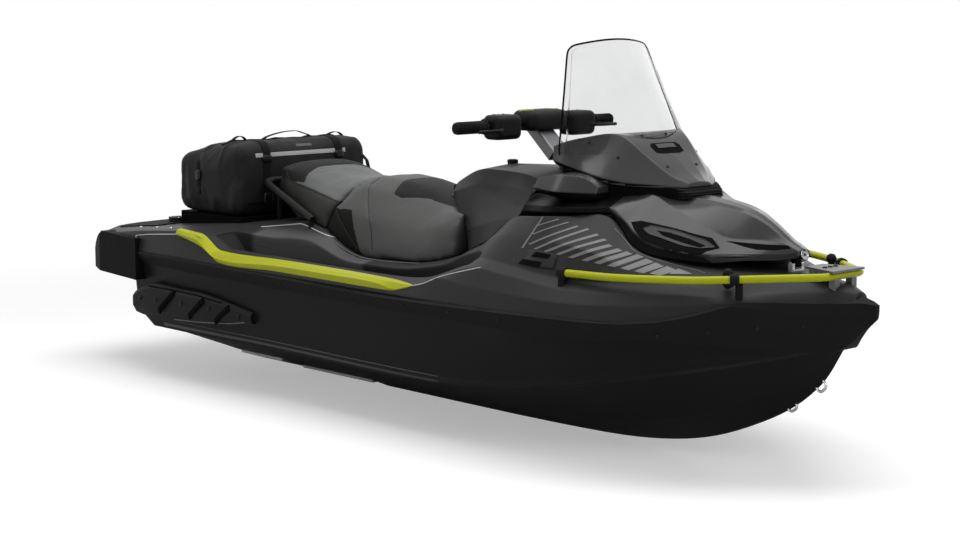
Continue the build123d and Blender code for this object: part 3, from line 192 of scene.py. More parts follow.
NUMBER, COLOUR = "NodeSocketFloat", "NodeSocketColor"
print("helpers ready")

# %% [markdown]
# Tone drift: two noises, one as wide as a hand and one as fine as dust, lift and lower the colour a
# few percent and move the roughness with it. Noise is read in object space, so the pattern sits in
# the material like pigment and needs no UV map.

# %% Effect: tone drift
tone_drift, takes, gives = effect(
    "tone_drift",
    [("Colour", COLOUR, (0.1, 0.1, 0.1, 1)), ("Drift", NUMBER, 0.12), ("Scale", NUMBER, 6.0),
     ("Roughness", NUMBER, 0.4)], [("Colour", COLOUR), ("Roughness", NUMBER)],
)
place = wire(tone_drift, "ShaderNodeTexCoord").outputs["Object"]
broad = wire(tone_drift, "ShaderNodeTexNoise", {"Vector": place, "Scale": takes["Scale"], "Detail": 3.0})
fine = wire(tone_drift, "ShaderNodeTexNoise", {"Vector": place, "Scale": 260.0, "Detail": 2.0})
both = maths(tone_drift, "ADD", broad.outputs[0], fine.outputs[0])
around = maths(tone_drift, "SUBTRACT", both, 1.0)
share = maths(tone_drift, "MULTIPLY", around, takes["Drift"])
factor = maths(tone_drift, "ADD", share, 1.0)
tinted = wire(tone_drift, "ShaderNodeVectorMath", {0: takes["Colour"], "Scale": factor}, operation="SCALE")
rougher = maths(tone_drift, "MULTIPLY", takes["Roughness"], factor)
tone_drift.links.new(tinted.outputs[0], gives["Colour"])
tone_drift.links.new(rougher, gives["Roughness"])
print("effect", tone_drift.name)

# %% [markdown]
# Rubbed edges and painted sheen: the Bevel node gives the normal that a rounded edge would have.
# Where it leans away from the true normal there is an edge, and the edge is painted paler: partly
# wear from hands, docks and ropes, partly a painted sheen where a rounded edge catches the light.
# A noise breaks the line up, because wear is never even.

# %% Effect: rubbed edges and painted sheen
rubbed_edges_and_sheen, takes, gives = effect(
    "rubbed_edges_and_sheen",
    [("Colour", COLOUR, (0.1, 0.1, 0.1, 1)), ("Worn And Sheen Colour", COLOUR, (0.3, 0.3, 0.3, 1)),
     ("Width", NUMBER, 0.003), ("Amount", NUMBER, 0.5)], [("Colour", COLOUR), ("Mask", NUMBER)],
)
# Paler edges: partly rubbed wear, partly a painted sheen where light would catch a rounded edge.
rounded = wire(rubbed_edges_and_sheen, "ShaderNodeBevel", {"Radius": takes["Width"]}, samples=4)
true_way = wire(rubbed_edges_and_sheen, "ShaderNodeNewGeometry").outputs["Normal"]
match = wire(rubbed_edges_and_sheen, "ShaderNodeVectorMath", {0: rounded.outputs[0], 1: true_way},
             operation="DOT_PRODUCT")
edge = ranged(rubbed_edges_and_sheen, match.outputs["Value"], 0.99, 0.90)
place = wire(rubbed_edges_and_sheen, "ShaderNodeTexCoord").outputs["Object"]
breaks = wire(rubbed_edges_and_sheen, "ShaderNodeTexNoise", {"Vector": place, "Scale": 34.0, "Detail": 4.0})
patchy = ranged(rubbed_edges_and_sheen, breaks.outputs[0], 0.35, 0.6)
worn_and_sheen = maths(rubbed_edges_and_sheen, "MULTIPLY", edge, patchy)
mask = maths(rubbed_edges_and_sheen, "MULTIPLY", worn_and_sheen, takes["Amount"])
mixed = wire(rubbed_edges_and_sheen, "ShaderNodeMix", {0: mask, 6: takes["Colour"], 7: takes["Worn And Sheen Colour"]},
             data_type="RGBA")
rubbed_edges_and_sheen.links.new(mixed.outputs[2], gives["Colour"])
rubbed_edges_and_sheen.links.new(mask, gives["Mask"])
print("effect", rubbed_edges_and_sheen.name)

# %% [markdown]
# Settled dust: it lies where the surface faces up, in soft patches. The mask comes from the normal's
# upward part, and the same mask makes the surface rougher.

# %% Effect: settled dust
settled_dust, takes, gives = effect(
    "settled_dust",
    [("Colour", COLOUR, (0.1, 0.1, 0.1, 1)), ("Dust Colour", COLOUR, (0.30, 0.29, 0.27, 1)),
     ("Amount", NUMBER, 0.08)], [("Colour", COLOUR), ("Mask", NUMBER)],
)
facing = wire(settled_dust, "ShaderNodeNewGeometry").outputs["Normal"]
upward = wire(settled_dust, "ShaderNodeSeparateXYZ", {0: facing}).outputs["Z"]
lying = ranged(settled_dust, upward, 0.35, 1.0)
place = wire(settled_dust, "ShaderNodeTexCoord").outputs["Object"]
patches = wire(settled_dust, "ShaderNodeTexNoise",
               {"Vector": place, "Scale": 9.0, "Detail": 6.0, "Roughness": 0.65})
uneven = ranged(settled_dust, patches.outputs[0], 0.3, 0.75)
lies = maths(settled_dust, "MULTIPLY", lying, uneven)
mask = maths(settled_dust, "MULTIPLY", lies, takes["Amount"])
mixed = wire(settled_dust, "ShaderNodeMix", {0: mask, 6: takes["Colour"], 7: takes["Dust Colour"]},
             data_type="RGBA")
settled_dust.links.new(mixed.outputs[2], gives["Colour"])
settled_dust.links.new(mask, gives["Mask"])
print("effect", settled_dust.name)

# %% [markdown]
# Pebbled grain: the cells of a Voronoi texture, softened, are the pebbles of moulded plastic and of
# embossed vinyl. Only the scale differs between the two, so one group serves both.

# %% Effect: pebbled grain
pebbled_grain, takes, gives = effect("pebbled_grain", [("Scale", NUMBER, 900.0)],
                                     [("Height", NUMBER), ("Shade", NUMBER)])
place = wire(pebbled_grain, "ShaderNodeTexCoord").outputs["Object"]
cells = wire(pebbled_grain, "ShaderNodeTexVoronoi",
             {"Vector": place, "Scale": takes["Scale"], "Randomness": 1.0})
pebble = ranged(pebbled_grain, cells.outputs["Distance"], from_max=0.7, to_min=1.0, to_max=0.0)
soft = maths(pebbled_grain, "POWER", pebble, 0.6)
shade = ranged(pebbled_grain, soft, to_min=0.86, to_max=1.06)
pebbled_grain.links.new(soft, gives["Height"])
pebbled_grain.links.new(shade, gives["Shade"])
print("effect", pebbled_grain.name)

# %% [markdown]
# Woven thread: a plain weave is two sets of threads that pass over and under each other. Two sine
# waves multiplied give that pattern on a flat sheet. A bag has sheets that face all ways, so the
# pattern is made in three planes, and each face takes the plane that it lies in.

# %% Effect: woven thread
woven_thread, takes, gives = effect("woven_thread", [("Threads", NUMBER, 3000.0)],
                                    [("Height", NUMBER), ("Shade", NUMBER)])
place = wire(woven_thread, "ShaderNodeTexCoord").outputs["Object"]
axes = wire(woven_thread, "ShaderNodeSeparateXYZ", {0: place})
facing = wire(woven_thread, "ShaderNodeSeparateXYZ",
              {0: wire(woven_thread, "ShaderNodeNewGeometry").outputs["Normal"]})
waves, shares = {}, {}
for axis in "XYZ":
    turns = maths(woven_thread, "MULTIPLY", axes.outputs[axis], takes["Threads"])
    waves[axis] = maths(woven_thread, "SINE", turns)
    square = maths(woven_thread, "MULTIPLY", facing.outputs[axis], facing.outputs[axis])
    shares[axis] = square
total = 0.0
for axis, first, second in (("X", "Y", "Z"), ("Y", "X", "Z"), ("Z", "X", "Y")):
    crossed = maths(woven_thread, "MULTIPLY", waves[first], waves[second])
    total = maths(woven_thread, "MULTIPLY_ADD", crossed, shares[axis], total)
height = ranged(woven_thread, total, from_min=-1.0)
shade = ranged(woven_thread, total, from_min=-1.0, to_min=0.8, to_max=1.12)
woven_thread.links.new(height, gives["Height"])
woven_thread.links.new(shade, gives["Shade"])
print("effect", woven_thread.name)

# %% [markdown]
# ## Finishes
#
# Every finish starts with the same chain: colour, tone drift, relief, rubbed edges with a painted
# sheen, dust. What makes gelcoat gelcoat and rubber rubber is the roughness, the clear coat and the
# relief, so these are the helper's arguments. A number that is the same all over a surface, such as
# the coat's roughness, is set on the shader's own socket, because the export drops it when it is
# linked. `soften` rounds the light over a moulding's creases, as the radius of a real mould does.

# %% A helper that mixes a finish
RELIEF_SIZE = {"pebbled_grain": "Scale", "woven_thread": "Threads"}
RIPPLE_SCALE = 45.0
made = {}


def grouped(tree, group, values):
    node = tree.nodes.new("ShaderNodeGroup")
    node.node_tree = group
    for key, value in values.items():
        if isinstance(value, bpy.types.NodeSocket):
            tree.links.new(value, node.inputs[key])
        else:
            node.inputs[key].default_value = value
    return node.outputs


def shaded(tree, colour, shade):
    """The colour made lighter or darker by a height pattern's shade."""
    return wire(tree, "ShaderNodeVectorMath", {0: colour, "Scale": shade}, operation="SCALE").outputs[0]


def finish(name, colour, roughness, drift=0.10, scale=6.0, worn_and_sheen=None, width=0.003, wear_and_sheen=0.4, dust=0.05,
           relief=None, relief_scale=900.0, depth=0.0001, specular=0.5, metallic=0.0, coat=0.0,
           coat_roughness=0.08, soften=0.0):
    """A procedural material: drifting colour, rubbed edges with a painted sheen, dust, and a fine relief.
    """
    material = bpy.data.materials.new(name)
    material.use_nodes = True
    tree = material.node_tree
    surface = tree.nodes["Principled BSDF"]
    start = (*colour, 1)
    toned = grouped(tree, tone_drift, {"Colour": start, "Drift": drift, "Scale": scale,
                                       "Roughness": roughness})
    shown, rough = toned["Colour"], toned["Roughness"]
    if relief:
        pattern = grouped(tree, relief, {RELIEF_SIZE[relief.name]: relief_scale})
        shown = shaded(tree, shown, pattern["Shade"])
    # Edges go paler here: partly wear, partly a painted sheen on the edges.
    if worn_and_sheen:
        rubbed_and_sheen = grouped(tree, rubbed_edges_and_sheen,
                         {"Colour": shown, "Worn And Sheen Colour": (*worn_and_sheen, 1), "Width": width, "Amount": wear_and_sheen})
        shown = rubbed_and_sheen["Colour"]
    if dust:
        dusty = grouped(tree, settled_dust, {"Colour": shown, "Amount": dust})
        shown = dusty["Colour"]
        rough = maths(tree, "ADD", rough, dusty["Mask"])
    tree.links.new(shown, surface.inputs["Base Color"])
    tree.links.new(rough, surface.inputs["Roughness"])
    if relief:
        bump = wire(tree, "ShaderNodeBump",
                    {"Height": pattern["Height"], "Strength": 1.0, "Distance": depth})
        tree.links.new(bump.outputs[0], surface.inputs["Normal"])
    else:
        place = wire(tree, "ShaderNodeTexCoord").outputs["Object"]
        ripple = wire(tree, "ShaderNodeTexNoise", {"Vector": place, "Scale": RIPPLE_SCALE, "Detail": 2.0})
        bump = wire(tree, "ShaderNodeBump",
                    {"Height": ripple.outputs[0], "Strength": 0.5, "Distance": depth})
        tree.links.new(bump.outputs[0], surface.inputs["Normal"])
    if soften:
        easy = wire(tree, "ShaderNodeBevel", {"Radius": soften}, samples=6)
        tree.links.new(easy.outputs[0], bump.inputs["Normal"])
    surface.inputs["Specular IOR Level"].default_value = specular
    surface.inputs["Metallic"].default_value = metallic
    surface.inputs["Coat Weight"].default_value = coat
    surface.inputs["Coat Roughness"].default_value = coat_roughness
    made[name] = material
    return material


print("finish helper ready")

# %% [markdown]
# Gelcoat is pigmented resin sprayed into the mould: smooth, satin, with a hardly visible flake. The
# hull is nearly black and the deck a step lighter, as real makers pair them. A low specular level
# keeps the pale studio from washing the dark colour out. The hood, the cowl and the mirror pods are
# glossier, under a thin clear coat, and the console is satin. The trim is painted lime.

# %% Gelcoats
def gloss_moulding(name, colour, roughness, specular, coat, soften):
    """The glossy charcoal of the hood's group, which differs a little from part to part."""
    return finish(name, colour, roughness, drift=0.10, scale=4.0, worn_and_sheen=(0.12, 0.12, 0.12), width=0.002,
                  wear_and_sheen=0.3, dust=0.02, depth=0.0001, specular=specular, coat=coat, coat_roughness=0.10,
                  soften=soften)


finish("hull_gelcoat", (0.0110, 0.0112, 0.0118), 0.34, drift=0.20, scale=3.0, worn_and_sheen=(0.07, 0.07, 0.07),
       width=0.004, wear_and_sheen=0.35, dust=0.02, depth=0.0003, specular=0.05, soften=0.016)
deck_gelcoat = finish("deck_gelcoat", (0.0215, 0.0217, 0.0225), 0.42, drift=0.16, scale=3.5,
                      worn_and_sheen=(0.10, 0.10, 0.10), width=0.004, wear_and_sheen=0.35, dust=0.03, depth=0.0003,
                      specular=0.11, soften=0.014)
lime_paint = finish("lime_paint", (0.400, 0.428, 0.006), 0.38, drift=0.06, scale=5.0,
                    worn_and_sheen=(0.62, 0.66, 0.14), width=0.002, wear_and_sheen=0.25, dust=0.02, depth=0.0001, specular=0.14,
                    coat=0.05)
hood_gloss = gloss_moulding("hood_gloss", (0.0170, 0.0173, 0.0183), 0.25, 0.20, 0.14, 0.010)
cowl_gloss = gloss_moulding("cowl_gloss", (0.0265, 0.0269, 0.0280), 0.20, 0.24, 0.16, 0.010)
pod_gloss = gloss_moulding("pod_gloss", (0.0240, 0.0244, 0.0255), 0.26, 0.22, 0.14, 0.008)
console_satin = finish("console_satin", (0.0075, 0.0076, 0.0080), 0.42, drift=0.14, scale=5.0,
                       worn_and_sheen=(0.06, 0.06, 0.06), width=0.003, wear_and_sheen=0.3, dust=0.02, depth=0.0002,
                       specular=0.09, soften=0.012)
print("gelcoats and lime paint")

# %% [markdown]
# Moulded trim is black polymer with a pebbled grain that hides scratches. Rubber is duller, with a
# finer grain and a greyish bloom where it has been out in the sun.

# %% Plastics and rubber
black_plastic = finish("black_plastic", (0.0080, 0.0080, 0.0084), 0.50, drift=0.15, worn_and_sheen=(0.05, 0.05, 0.05),
                       wear_and_sheen=0.5, width=0.002, dust=0.05, relief=pebbled_grain, relief_scale=700.0,
                       depth=0.00008, specular=0.10)
black_rubber = finish("black_rubber", (0.0112, 0.0112, 0.0112), 0.62, drift=0.22, worn_and_sheen=(0.04, 0.04, 0.04),
                      wear_and_sheen=0.4, width=0.004, dust=0.06, relief=pebbled_grain, relief_scale=1300.0,
                      depth=0.00005, specular=0.05)
smooth_black = finish("smooth_black", (0.008, 0.008, 0.0085), 0.26, drift=0.10, worn_and_sheen=(0.06, 0.06, 0.06),
                      wear_and_sheen=0.3, width=0.0015, dust=0.02, depth=0.00008, specular=0.16)
deep_black = finish("deep_black", (0.003, 0.003, 0.003), 0.9, drift=0.2, dust=0.0, depth=0.0001,
                    specular=0.05)
cavity_black = finish("cavity_black", (0.0035, 0.0035, 0.0036), 0.7, drift=0.2, worn_and_sheen=(0.02, 0.02, 0.02),
                      dust=0.01, relief=pebbled_grain, relief_scale=800.0, depth=0.0001, specular=0.02)
bumper_grey = finish("bumper_grey", (0.0062, 0.0062, 0.0064), 0.60, drift=0.2, worn_and_sheen=(0.04, 0.04, 0.04),
                     wear_and_sheen=0.4, width=0.004, dust=0.04, relief=pebbled_grain, relief_scale=1100.0,
                     depth=0.00006, specular=0.03)
print("plastics and rubber")

# %% [markdown]
# Metals keep `Metallic` at 1 and differ in colour and roughness: steel is pale and smooth, cast
# aluminium has a sandy skin, and the column's grey metal is darker. The silver line is a metallic
# paint, so it is only partly metal.

# %% Metals
steel = finish("steel", (0.55, 0.56, 0.57), 0.22, drift=0.10, scale=30.0, depth=0.00006, metallic=1.0,
               dust=0.0)
finish("grey_metal", (0.13, 0.13, 0.135), 0.46, drift=0.12, scale=20.0, worn_and_sheen=(0.45, 0.45, 0.46),
       width=0.002, wear_and_sheen=0.5, depth=0.00008, metallic=1.0, dust=0.02)
finish("pump_aluminium", (0.42, 0.43, 0.44), 0.46, drift=0.25, scale=14.0, worn_and_sheen=(0.7, 0.7, 0.7),
       width=0.003, wear_and_sheen=0.5, relief=pebbled_grain, relief_scale=1100.0, depth=0.00012, metallic=1.0,
       dust=0.04)
silver_line = finish("silver_line", (0.42, 0.43, 0.44), 0.32, drift=0.06, scale=12.0, depth=0.00003,
                     metallic=0.6, dust=0.02)
finish("engine_paint", (0.05, 0.05, 0.05), 0.42, drift=0.2, worn_and_sheen=(0.3, 0.3, 0.3), width=0.003,
       relief=pebbled_grain, relief_scale=900.0, depth=0.0001, dust=0.1)
print("metals")

# %% [markdown]
# The seat is foam under marine vinyl, embossed like leather. It comes in five tones, from the mid
# grey of the rear seat's top to the near-black wedges and bolster. Vinyl creases a little, so a broad
# soft ripple is added under the fine grain.

# %% Seat vinyls
def seat_vinyl(name, colour, roughness, specular=0.22):
    material = finish(name, colour, roughness, drift=0.14, scale=8.0, worn_and_sheen=(0.22, 0.22, 0.22), width=0.004,
                      wear_and_sheen=0.12, dust=0.04, relief=pebbled_grain, relief_scale=520.0, depth=0.00018,
                      specular=specular)
    tree = material.node_tree
    fine_bump = next(n for n in tree.nodes if n.type == "BUMP")
    place = wire(tree, "ShaderNodeTexCoord").outputs["Object"]
    pull = wire(tree, "ShaderNodeTexNoise",
                {"Vector": place, "Scale": 13.0, "Detail": 2.0, "Distortion": 0.6})
    soft_bump = wire(tree, "ShaderNodeBump",
                     {"Height": pull.outputs[0], "Strength": 0.35, "Distance": 0.004})
    tree.links.new(soft_bump.outputs[0], fine_bump.inputs["Normal"])
    return material


vinyl_top = seat_vinyl("vinyl_mid_grey", (0.105, 0.108, 0.108), 0.50)
vinyl_saddle = seat_vinyl("vinyl_saddle_grey", (0.066, 0.066, 0.065), 0.48)
vinyl_side = seat_vinyl("vinyl_dark_side", (0.0215, 0.0215, 0.0200), 0.50, 0.10)
vinyl_wedge = seat_vinyl("vinyl_wedge", (0.0125, 0.0125, 0.0108), 0.54, 0.03)
vinyl_bolster = seat_vinyl("vinyl_bolster", (0.0170, 0.0170, 0.0170), 0.50, 0.04)
print("five vinyls")

# %% [markdown]
# Traction mats are closed-cell foam milled with long grooves. A wave texture gives the grooves, with
# the pebbled grain between them.

# %% Mat foam
deck_mat = finish("deck_mat", (0.014, 0.014, 0.0145), 0.72, drift=0.2, worn_and_sheen=(0.06, 0.06, 0.06), wear_and_sheen=0.5,
                  dust=0.14, relief=pebbled_grain, relief_scale=800.0, depth=0.00010, specular=0.08)
tree = deck_mat.node_tree
grain_bump = next(n for n in tree.nodes if n.type == "BUMP")
GROOVE_SCALE, WAVE_TURNS = 13.5, 6.283
place = wire(tree, "ShaderNodeTexCoord").outputs["Object"]
ribs = wire(tree, "ShaderNodeTexWave", {"Vector": place, "Scale": GROOVE_SCALE, "Distortion": 0.0},
            wave_type="BANDS", bands_direction="Y")
cut = ranged(tree, ribs.outputs["Fac"], 0.12, 0.30)
groove_bump = wire(tree, "ShaderNodeBump", {"Height": cut, "Strength": 1.0, "Distance": 0.0022})
tree.links.new(groove_bump.outputs[0], grain_bump.inputs["Normal"])
print("mat grooves every", round(1000 / GROOVE_SCALE / WAVE_TURNS, 1), "mm")

# %% [markdown]
# The dry bag is a coated cloth, dull with a faint weave, and its straps are ribbed webbing. The
# coating is why neither has the sheen of bare fibre.

# %% Cloths
bag_fabric = finish("bag_fabric", (0.0105, 0.0105, 0.0108), 0.58, drift=0.2, scale=9.0,
                    worn_and_sheen=(0.05, 0.05, 0.05), wear_and_sheen=0.2, dust=0.05, relief=woven_thread, relief_scale=3200.0,
                    depth=0.00012, specular=0.12)
webbing = finish("webbing", (0.0042, 0.0042, 0.0044), 0.70, drift=0.2, dust=0.04, relief=woven_thread,
                 relief_scale=2300.0, depth=0.00025, specular=0.08)
reflective_tape = finish("reflective_tape", (0.34, 0.34, 0.35), 0.34, drift=0.06, dust=0.02,
                         relief=pebbled_grain, relief_scale=1500.0, depth=0.00006, specular=0.6)
grey_cloth = finish("grey_cloth", (0.06, 0.06, 0.06), 0.7, drift=0.2, dust=0.03, relief=woven_thread,
                    relief_scale=2600.0, depth=0.0002)
print("cloths")

# %% [markdown]
# Glass is the one finish that light goes through. The screen is thin clear acrylic: nearly colourless,
# a little smeared by fine polishing scratches that only the roughness shows. The display has a black
# face behind glass, and the mirrors are silvered.

# %% Glass and mirror
screen = bpy.data.materials.new("screen")
screen.use_nodes = True
tree = screen.node_tree
surface = tree.nodes["Principled BSDF"]
surface.inputs["Transmission Weight"].default_value = 1.0
surface.inputs["IOR"].default_value = 1.06
place = wire(tree, "ShaderNodeTexCoord").outputs["Object"]
haze = wire(tree, "ShaderNodeTexNoise", {"Vector": place, "Scale": 5.0, "Detail": 5.0, "Distortion": 1.2})
smear = ranged(tree, haze.outputs[0], to_min=0.0, to_max=0.05)
tint = wire(tree, "ShaderNodeMix", {0: haze.outputs[0], 6: (0.72, 0.725, 0.73, 1),
                                    7: (0.84, 0.842, 0.845, 1)}, data_type="RGBA")
tree.links.new(smear, surface.inputs["Roughness"])
tree.links.new(tint.outputs[2], surface.inputs["Base Color"])
finish("display_glass", (0.006, 0.007, 0.009), 0.10, drift=0.05, dust=0.0, depth=0.00002, specular=0.6,
       coat=1.0)
finish("mirror", (0.82, 0.83, 0.84), 0.04, drift=0.02, dust=0.0, depth=0.00001, metallic=1.0)
print("glass and mirror")

# %% [markdown]
# The floor is a wide pale studio floor at the keel's height, so that the whole hull shows. Its paper
# is slightly uneven. For the camera it glows a little on top of its diffuse light, which brings the
# open floor to white and leaves the craft's shadow in place. Far out, where no lamp reaches, it
# turns into the same white as the sky.

# %% Floor
floor_paint = finish("floor_paint", (0.80, 0.80, 0.80), 0.85, drift=0.012, scale=1.5, dust=0.0,
                     depth=0.0002, specular=0.1)
rings, spokes, reach = 24, 96, 34.0
NEAR_GLOW, BELOW_KEEL, WHITE_FROM, WHITE_AT = 0.38, 0.001, 2.2, 5.0
floor_mesh = bpy.data.meshes.new("studio_floor")
net = bmesh.new()
hub = net.verts.new((0, 0, 0))
circles = []
for ring in range(1, rings + 1):
    radius = reach * (ring / rings) ** 2
    circles.append([net.verts.new((radius * math.cos(math.tau * s / spokes),
                                   radius * math.sin(math.tau * s / spokes), 0))
                    for s in range(spokes)])
for s in range(spokes):
    net.faces.new((hub, circles[0][s], circles[0][(s + 1) % spokes]))
    for inner, outer in zip(circles, circles[1:]):
        net.faces.new((inner[s], outer[s], outer[(s + 1) % spokes], inner[(s + 1) % spokes]))
net.to_mesh(floor_mesh)
net.free()
studio_floor = bpy.data.objects.new("studio_floor", floor_mesh)
bpy.context.scene.collection.objects.link(studio_floor)
studio_floor.location.z = keel_z - BELOW_KEEL
floor_mesh.materials.append(floor_paint)
tree = floor_paint.node_tree
lift = wire(tree, "ShaderNodeLightPath")
reached = wire(tree, "ShaderNodeVectorMath", {0: wire(tree, "ShaderNodeTexCoord").outputs["Object"]},
               operation="LENGTH")
away = ranged(tree, reached.outputs["Value"], WHITE_FROM, WHITE_AT, interpolation_type="SMOOTHSTEP")
near_glow = wire(tree, "ShaderNodeMix", {0: lift.outputs["Is Camera Ray"], 6: (0, 0, 0, 1),
                                         7: (1, 1, 1, 1)}, data_type="RGBA")
tree.links.new(near_glow.outputs[2], tree.nodes["Principled BSDF"].inputs["Emission Color"])
tree.nodes["Principled BSDF"].inputs["Emission Strength"].default_value = NEAR_GLOW
mirrored = maths(tree, "MAXIMUM", lift.outputs["Is Camera Ray"], lift.outputs["Is Glossy Ray"])
through = maths(tree, "MAXIMUM", mirrored, lift.outputs["Is Transmission Ray"])
far_level = ranged(tree, through, to_min=SKY_AS_LAMP)
far_glow = wire(tree, "ShaderNodeEmission", {"Strength": far_level})
blend_out = wire(tree, "ShaderNodeMixShader",
                 {0: away, 1: tree.nodes["Principled BSDF"].outputs[0], 2: far_glow.outputs[0]})
tree.links.new(blend_out.outputs[0], tree.nodes["Material Output"].inputs["Surface"])
print("floor", reach, "m wide")

# %% [markdown]
# Some mouldings change tone across one surface: the console is lighter below a line, where a paint
# mask or a return edge ends. The matt near-black under the hood's lower edge and under the mirror
# pods is painted shade, and the lighter box on the seat pedestal's wall is painted light. `zoned`
# mixes a second colour in wherever a mask is 1. The masks come from the position: below a line drawn
# over the side view with a curve node, or inside a box.

# %% Zones
def zoned(material, mask, colour, matt=False):
    """Give part of a material another colour, where the mask is 1. A matt zone loses its gloss too."""
    tree = material.node_tree
    base = tree.nodes["Principled BSDF"].inputs["Base Color"]
    mix = wire(tree, "ShaderNodeMix", {0: mask, 6: base.links[0].from_socket, 7: (*colour, 1)},
               data_type="RGBA")
    tree.links.new(mix.outputs[2], base)
    if matt:
        for gloss in ("Specular IOR Level", "Coat Weight"):
            socket = tree.nodes["Principled BSDF"].inputs[gloss]
            fade = ranged(tree, mask, to_min=socket.default_value, to_max=0.02)
            tree.links.new(fade, socket)


def below_line(material, line, fade=0.003):
    """A mask of what lies below a line of (x, z) pairs in builder's measures, with a soft edge."""
    tree = material.node_tree
    where = wire(tree, "ShaderNodeSeparateXYZ", {0: wire(tree, "ShaderNodeTexCoord").outputs["Object"]})
    spots = [at(x, 0, z) for x, z in line]
    low_z, high_z = min(p.z for p in spots), max(p.z for p in spots)
    along = ranged(tree, where.outputs["X"], spots[0].x, spots[-1].x)
    curve = tree.nodes.new("ShaderNodeFloatCurve")
    points = curve.mapping.curves[0].points
    for index, p in enumerate(spots):
        place = ((p.x - spots[0].x) / (spots[-1].x - spots[0].x), (p.z - low_z) / (high_z - low_z))
        if index in (0, len(spots) - 1):
            points[0 if index == 0 else len(points) - 1].location = place
        else:
            points.new(*place)
    for spot in points:
        spot.handle_type = "VECTOR"
    curve.mapping.update()
    tree.links.new(along, curve.inputs["Value"])
    limit = ranged(tree, curve.outputs[0], to_min=low_z, to_max=high_z)
    gap = maths(tree, "SUBTRACT", limit, where.outputs["Z"])
    return ranged(tree, gap, -fade, fade)


def inside_box(material, low, high, fade=0.012):
    """A mask of what lies inside a box, mirrored over the centreline, with a soft edge."""
    tree = material.node_tree
    place = wire(tree, "ShaderNodeTexCoord").outputs["Object"]
    mirrored = wire(tree, "ShaderNodeVectorMath", {0: place}, operation="ABSOLUTE")
    plain = wire(tree, "ShaderNodeSeparateXYZ", {0: place})
    folded = wire(tree, "ShaderNodeSeparateXYZ", {0: mirrored.outputs[0]})
    mask = None
    for source, a, b in ((plain.outputs["X"], low.x, high.x), (folded.outputs["Y"], low.y, high.y),
                         (plain.outputs["Z"], low.z, high.z)):
        enter = ranged(tree, source, a - fade, a + fade)
        leave = ranged(tree, source, b - fade, b + fade, to_min=1.0, to_max=0.0)
        both = maths(tree, "MULTIPLY", enter, leave)
        mask = both if mask is None else maths(tree, "MULTIPLY", mask, both)
    return mask


HOOD_SHADOW_LINE = [(2480, 905), (2846, 905), (2856, 862), (2925, 826), (2985, 794), (3035, 772),
             (3105, 750), (3164, 738), (3240, 732), (3330, 731), (3460, 733)]
POD_SHADE_LINE = [(2560, 914), (2650, 912), (2830, 908)]
CONSOLE_LINE = [(1980, 880), (2100, 872), (2300, 850), (2400, 835)]
PEDESTAL_LIGHT_BOX = at(1000, 250, 530), at(1640, 430, 640)
# Painted shadow: the hood turns matt near-black below its lower edge line, where the gap to the deck is in
# shade.
zoned(hood_gloss, below_line(hood_gloss, HOOD_SHADOW_LINE), (0.0040, 0.0040, 0.0042), matt=True)
# Painted shade: the mirror pods turn matt black below a line along their undersides.
zoned(pod_gloss, below_line(pod_gloss, POD_SHADE_LINE), (0.0030, 0.0030, 0.0030), matt=True)
# Painted light: inside a box on the seat pedestal's side wall, which the lamps leave in shade, the deck is
# painted much lighter.
zoned(deck_gelcoat, inside_box(deck_gelcoat, *PEDESTAL_LIGHT_BOX), (0.085, 0.085, 0.086))
zoned(console_satin, below_line(console_satin, CONSOLE_LINE, 0.010), (0.0165, 0.0168, 0.0175))
print("zones on four finishes")

# %% [markdown]
# Every CAD node now takes its finish. The record names a slot for each node, and the finish of the
# same name goes on it. A few nodes take a finish of their own instead.

# %% Finishes on the CAD nodes
made["screen"], made["seat_vinyl"] = screen, vinyl_saddle
slot_of = {part["node"]: part["material_slot"] for part in frame["record"]["subparts"]}
own = {"hood": hood_gloss, "cowl": cowl_gloss, "mirror_pods": pod_gloss, "console": console_satin,
       "cowl_base": cavity_black, "side_vents": deck_gelcoat, "windshield_trim": screen,
       "stern_bumpers": bumper_grey, "cargo_tray": cavity_black}
for name in nodes:
    body_object = bpy.data.objects[name]
    chosen = own.get(name) or made[slot_of[name]]
    if not body_object.material_slots:
        body_object.data.materials.append(chosen)
    for used in body_object.material_slots:
        used.material = chosen
print("finishes on", len(slot_of), "nodes")

# %% [markdown]
# ## Tools for new pieces
#
# New pieces are made in mesh code. Three helpers cover nearly all of them. `piece` turns points and
# faces into an object with a finish that rides on a body. `cordage` draws a round section along a
# smooth curve, for piping, stitches and tubes. `probe` casts a ray at a CAD node, so that a trim
# line or a screw sits exactly on the moulding below it.

# %% Tools: piece, cordage, probe
def settle(thing, material, body):
    thing.data.materials.clear()
    thing.data.materials.append(material)
    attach(thing, body)
    return thing


def piece(name, points, faces, material, body="craft", smooth=True):
    mesh = bpy.data.meshes.new(name)
    mesh.from_pydata([tuple(p) for p in points], [], faces)
    mesh.validate()
    if smooth:
        mesh.shade_smooth()
    thing = bpy.data.objects.new(name, mesh)
    bpy.context.scene.collection.objects.link(thing)
    return settle(thing, material, body)


def cordage(name, lines, radius, material, body="craft", flat=False):
    """Round cords through the points. Several lines share one object."""
    curve = bpy.data.curves.new(name, "CURVE")
    curve.dimensions, curve.bevel_depth, curve.bevel_resolution, curve.use_fill_caps = "3D", radius, 3, True
    curve.resolution_u = 6
    for line in lines:
        spline = curve.splines.new("POLY" if flat else "NURBS")
        spline.points.add(len(line) - 1)
        for spot, p in zip(spline.points, line):
            spot.co = (*p, 1)
        if not flat:
            spline.order_u = 4 if len(line) > 3 else len(line)
            spline.use_endpoint_u = True
    thing = bpy.data.objects.new(name, curve)
    bpy.context.scene.collection.objects.link(thing)
    return settle(thing, material, body)


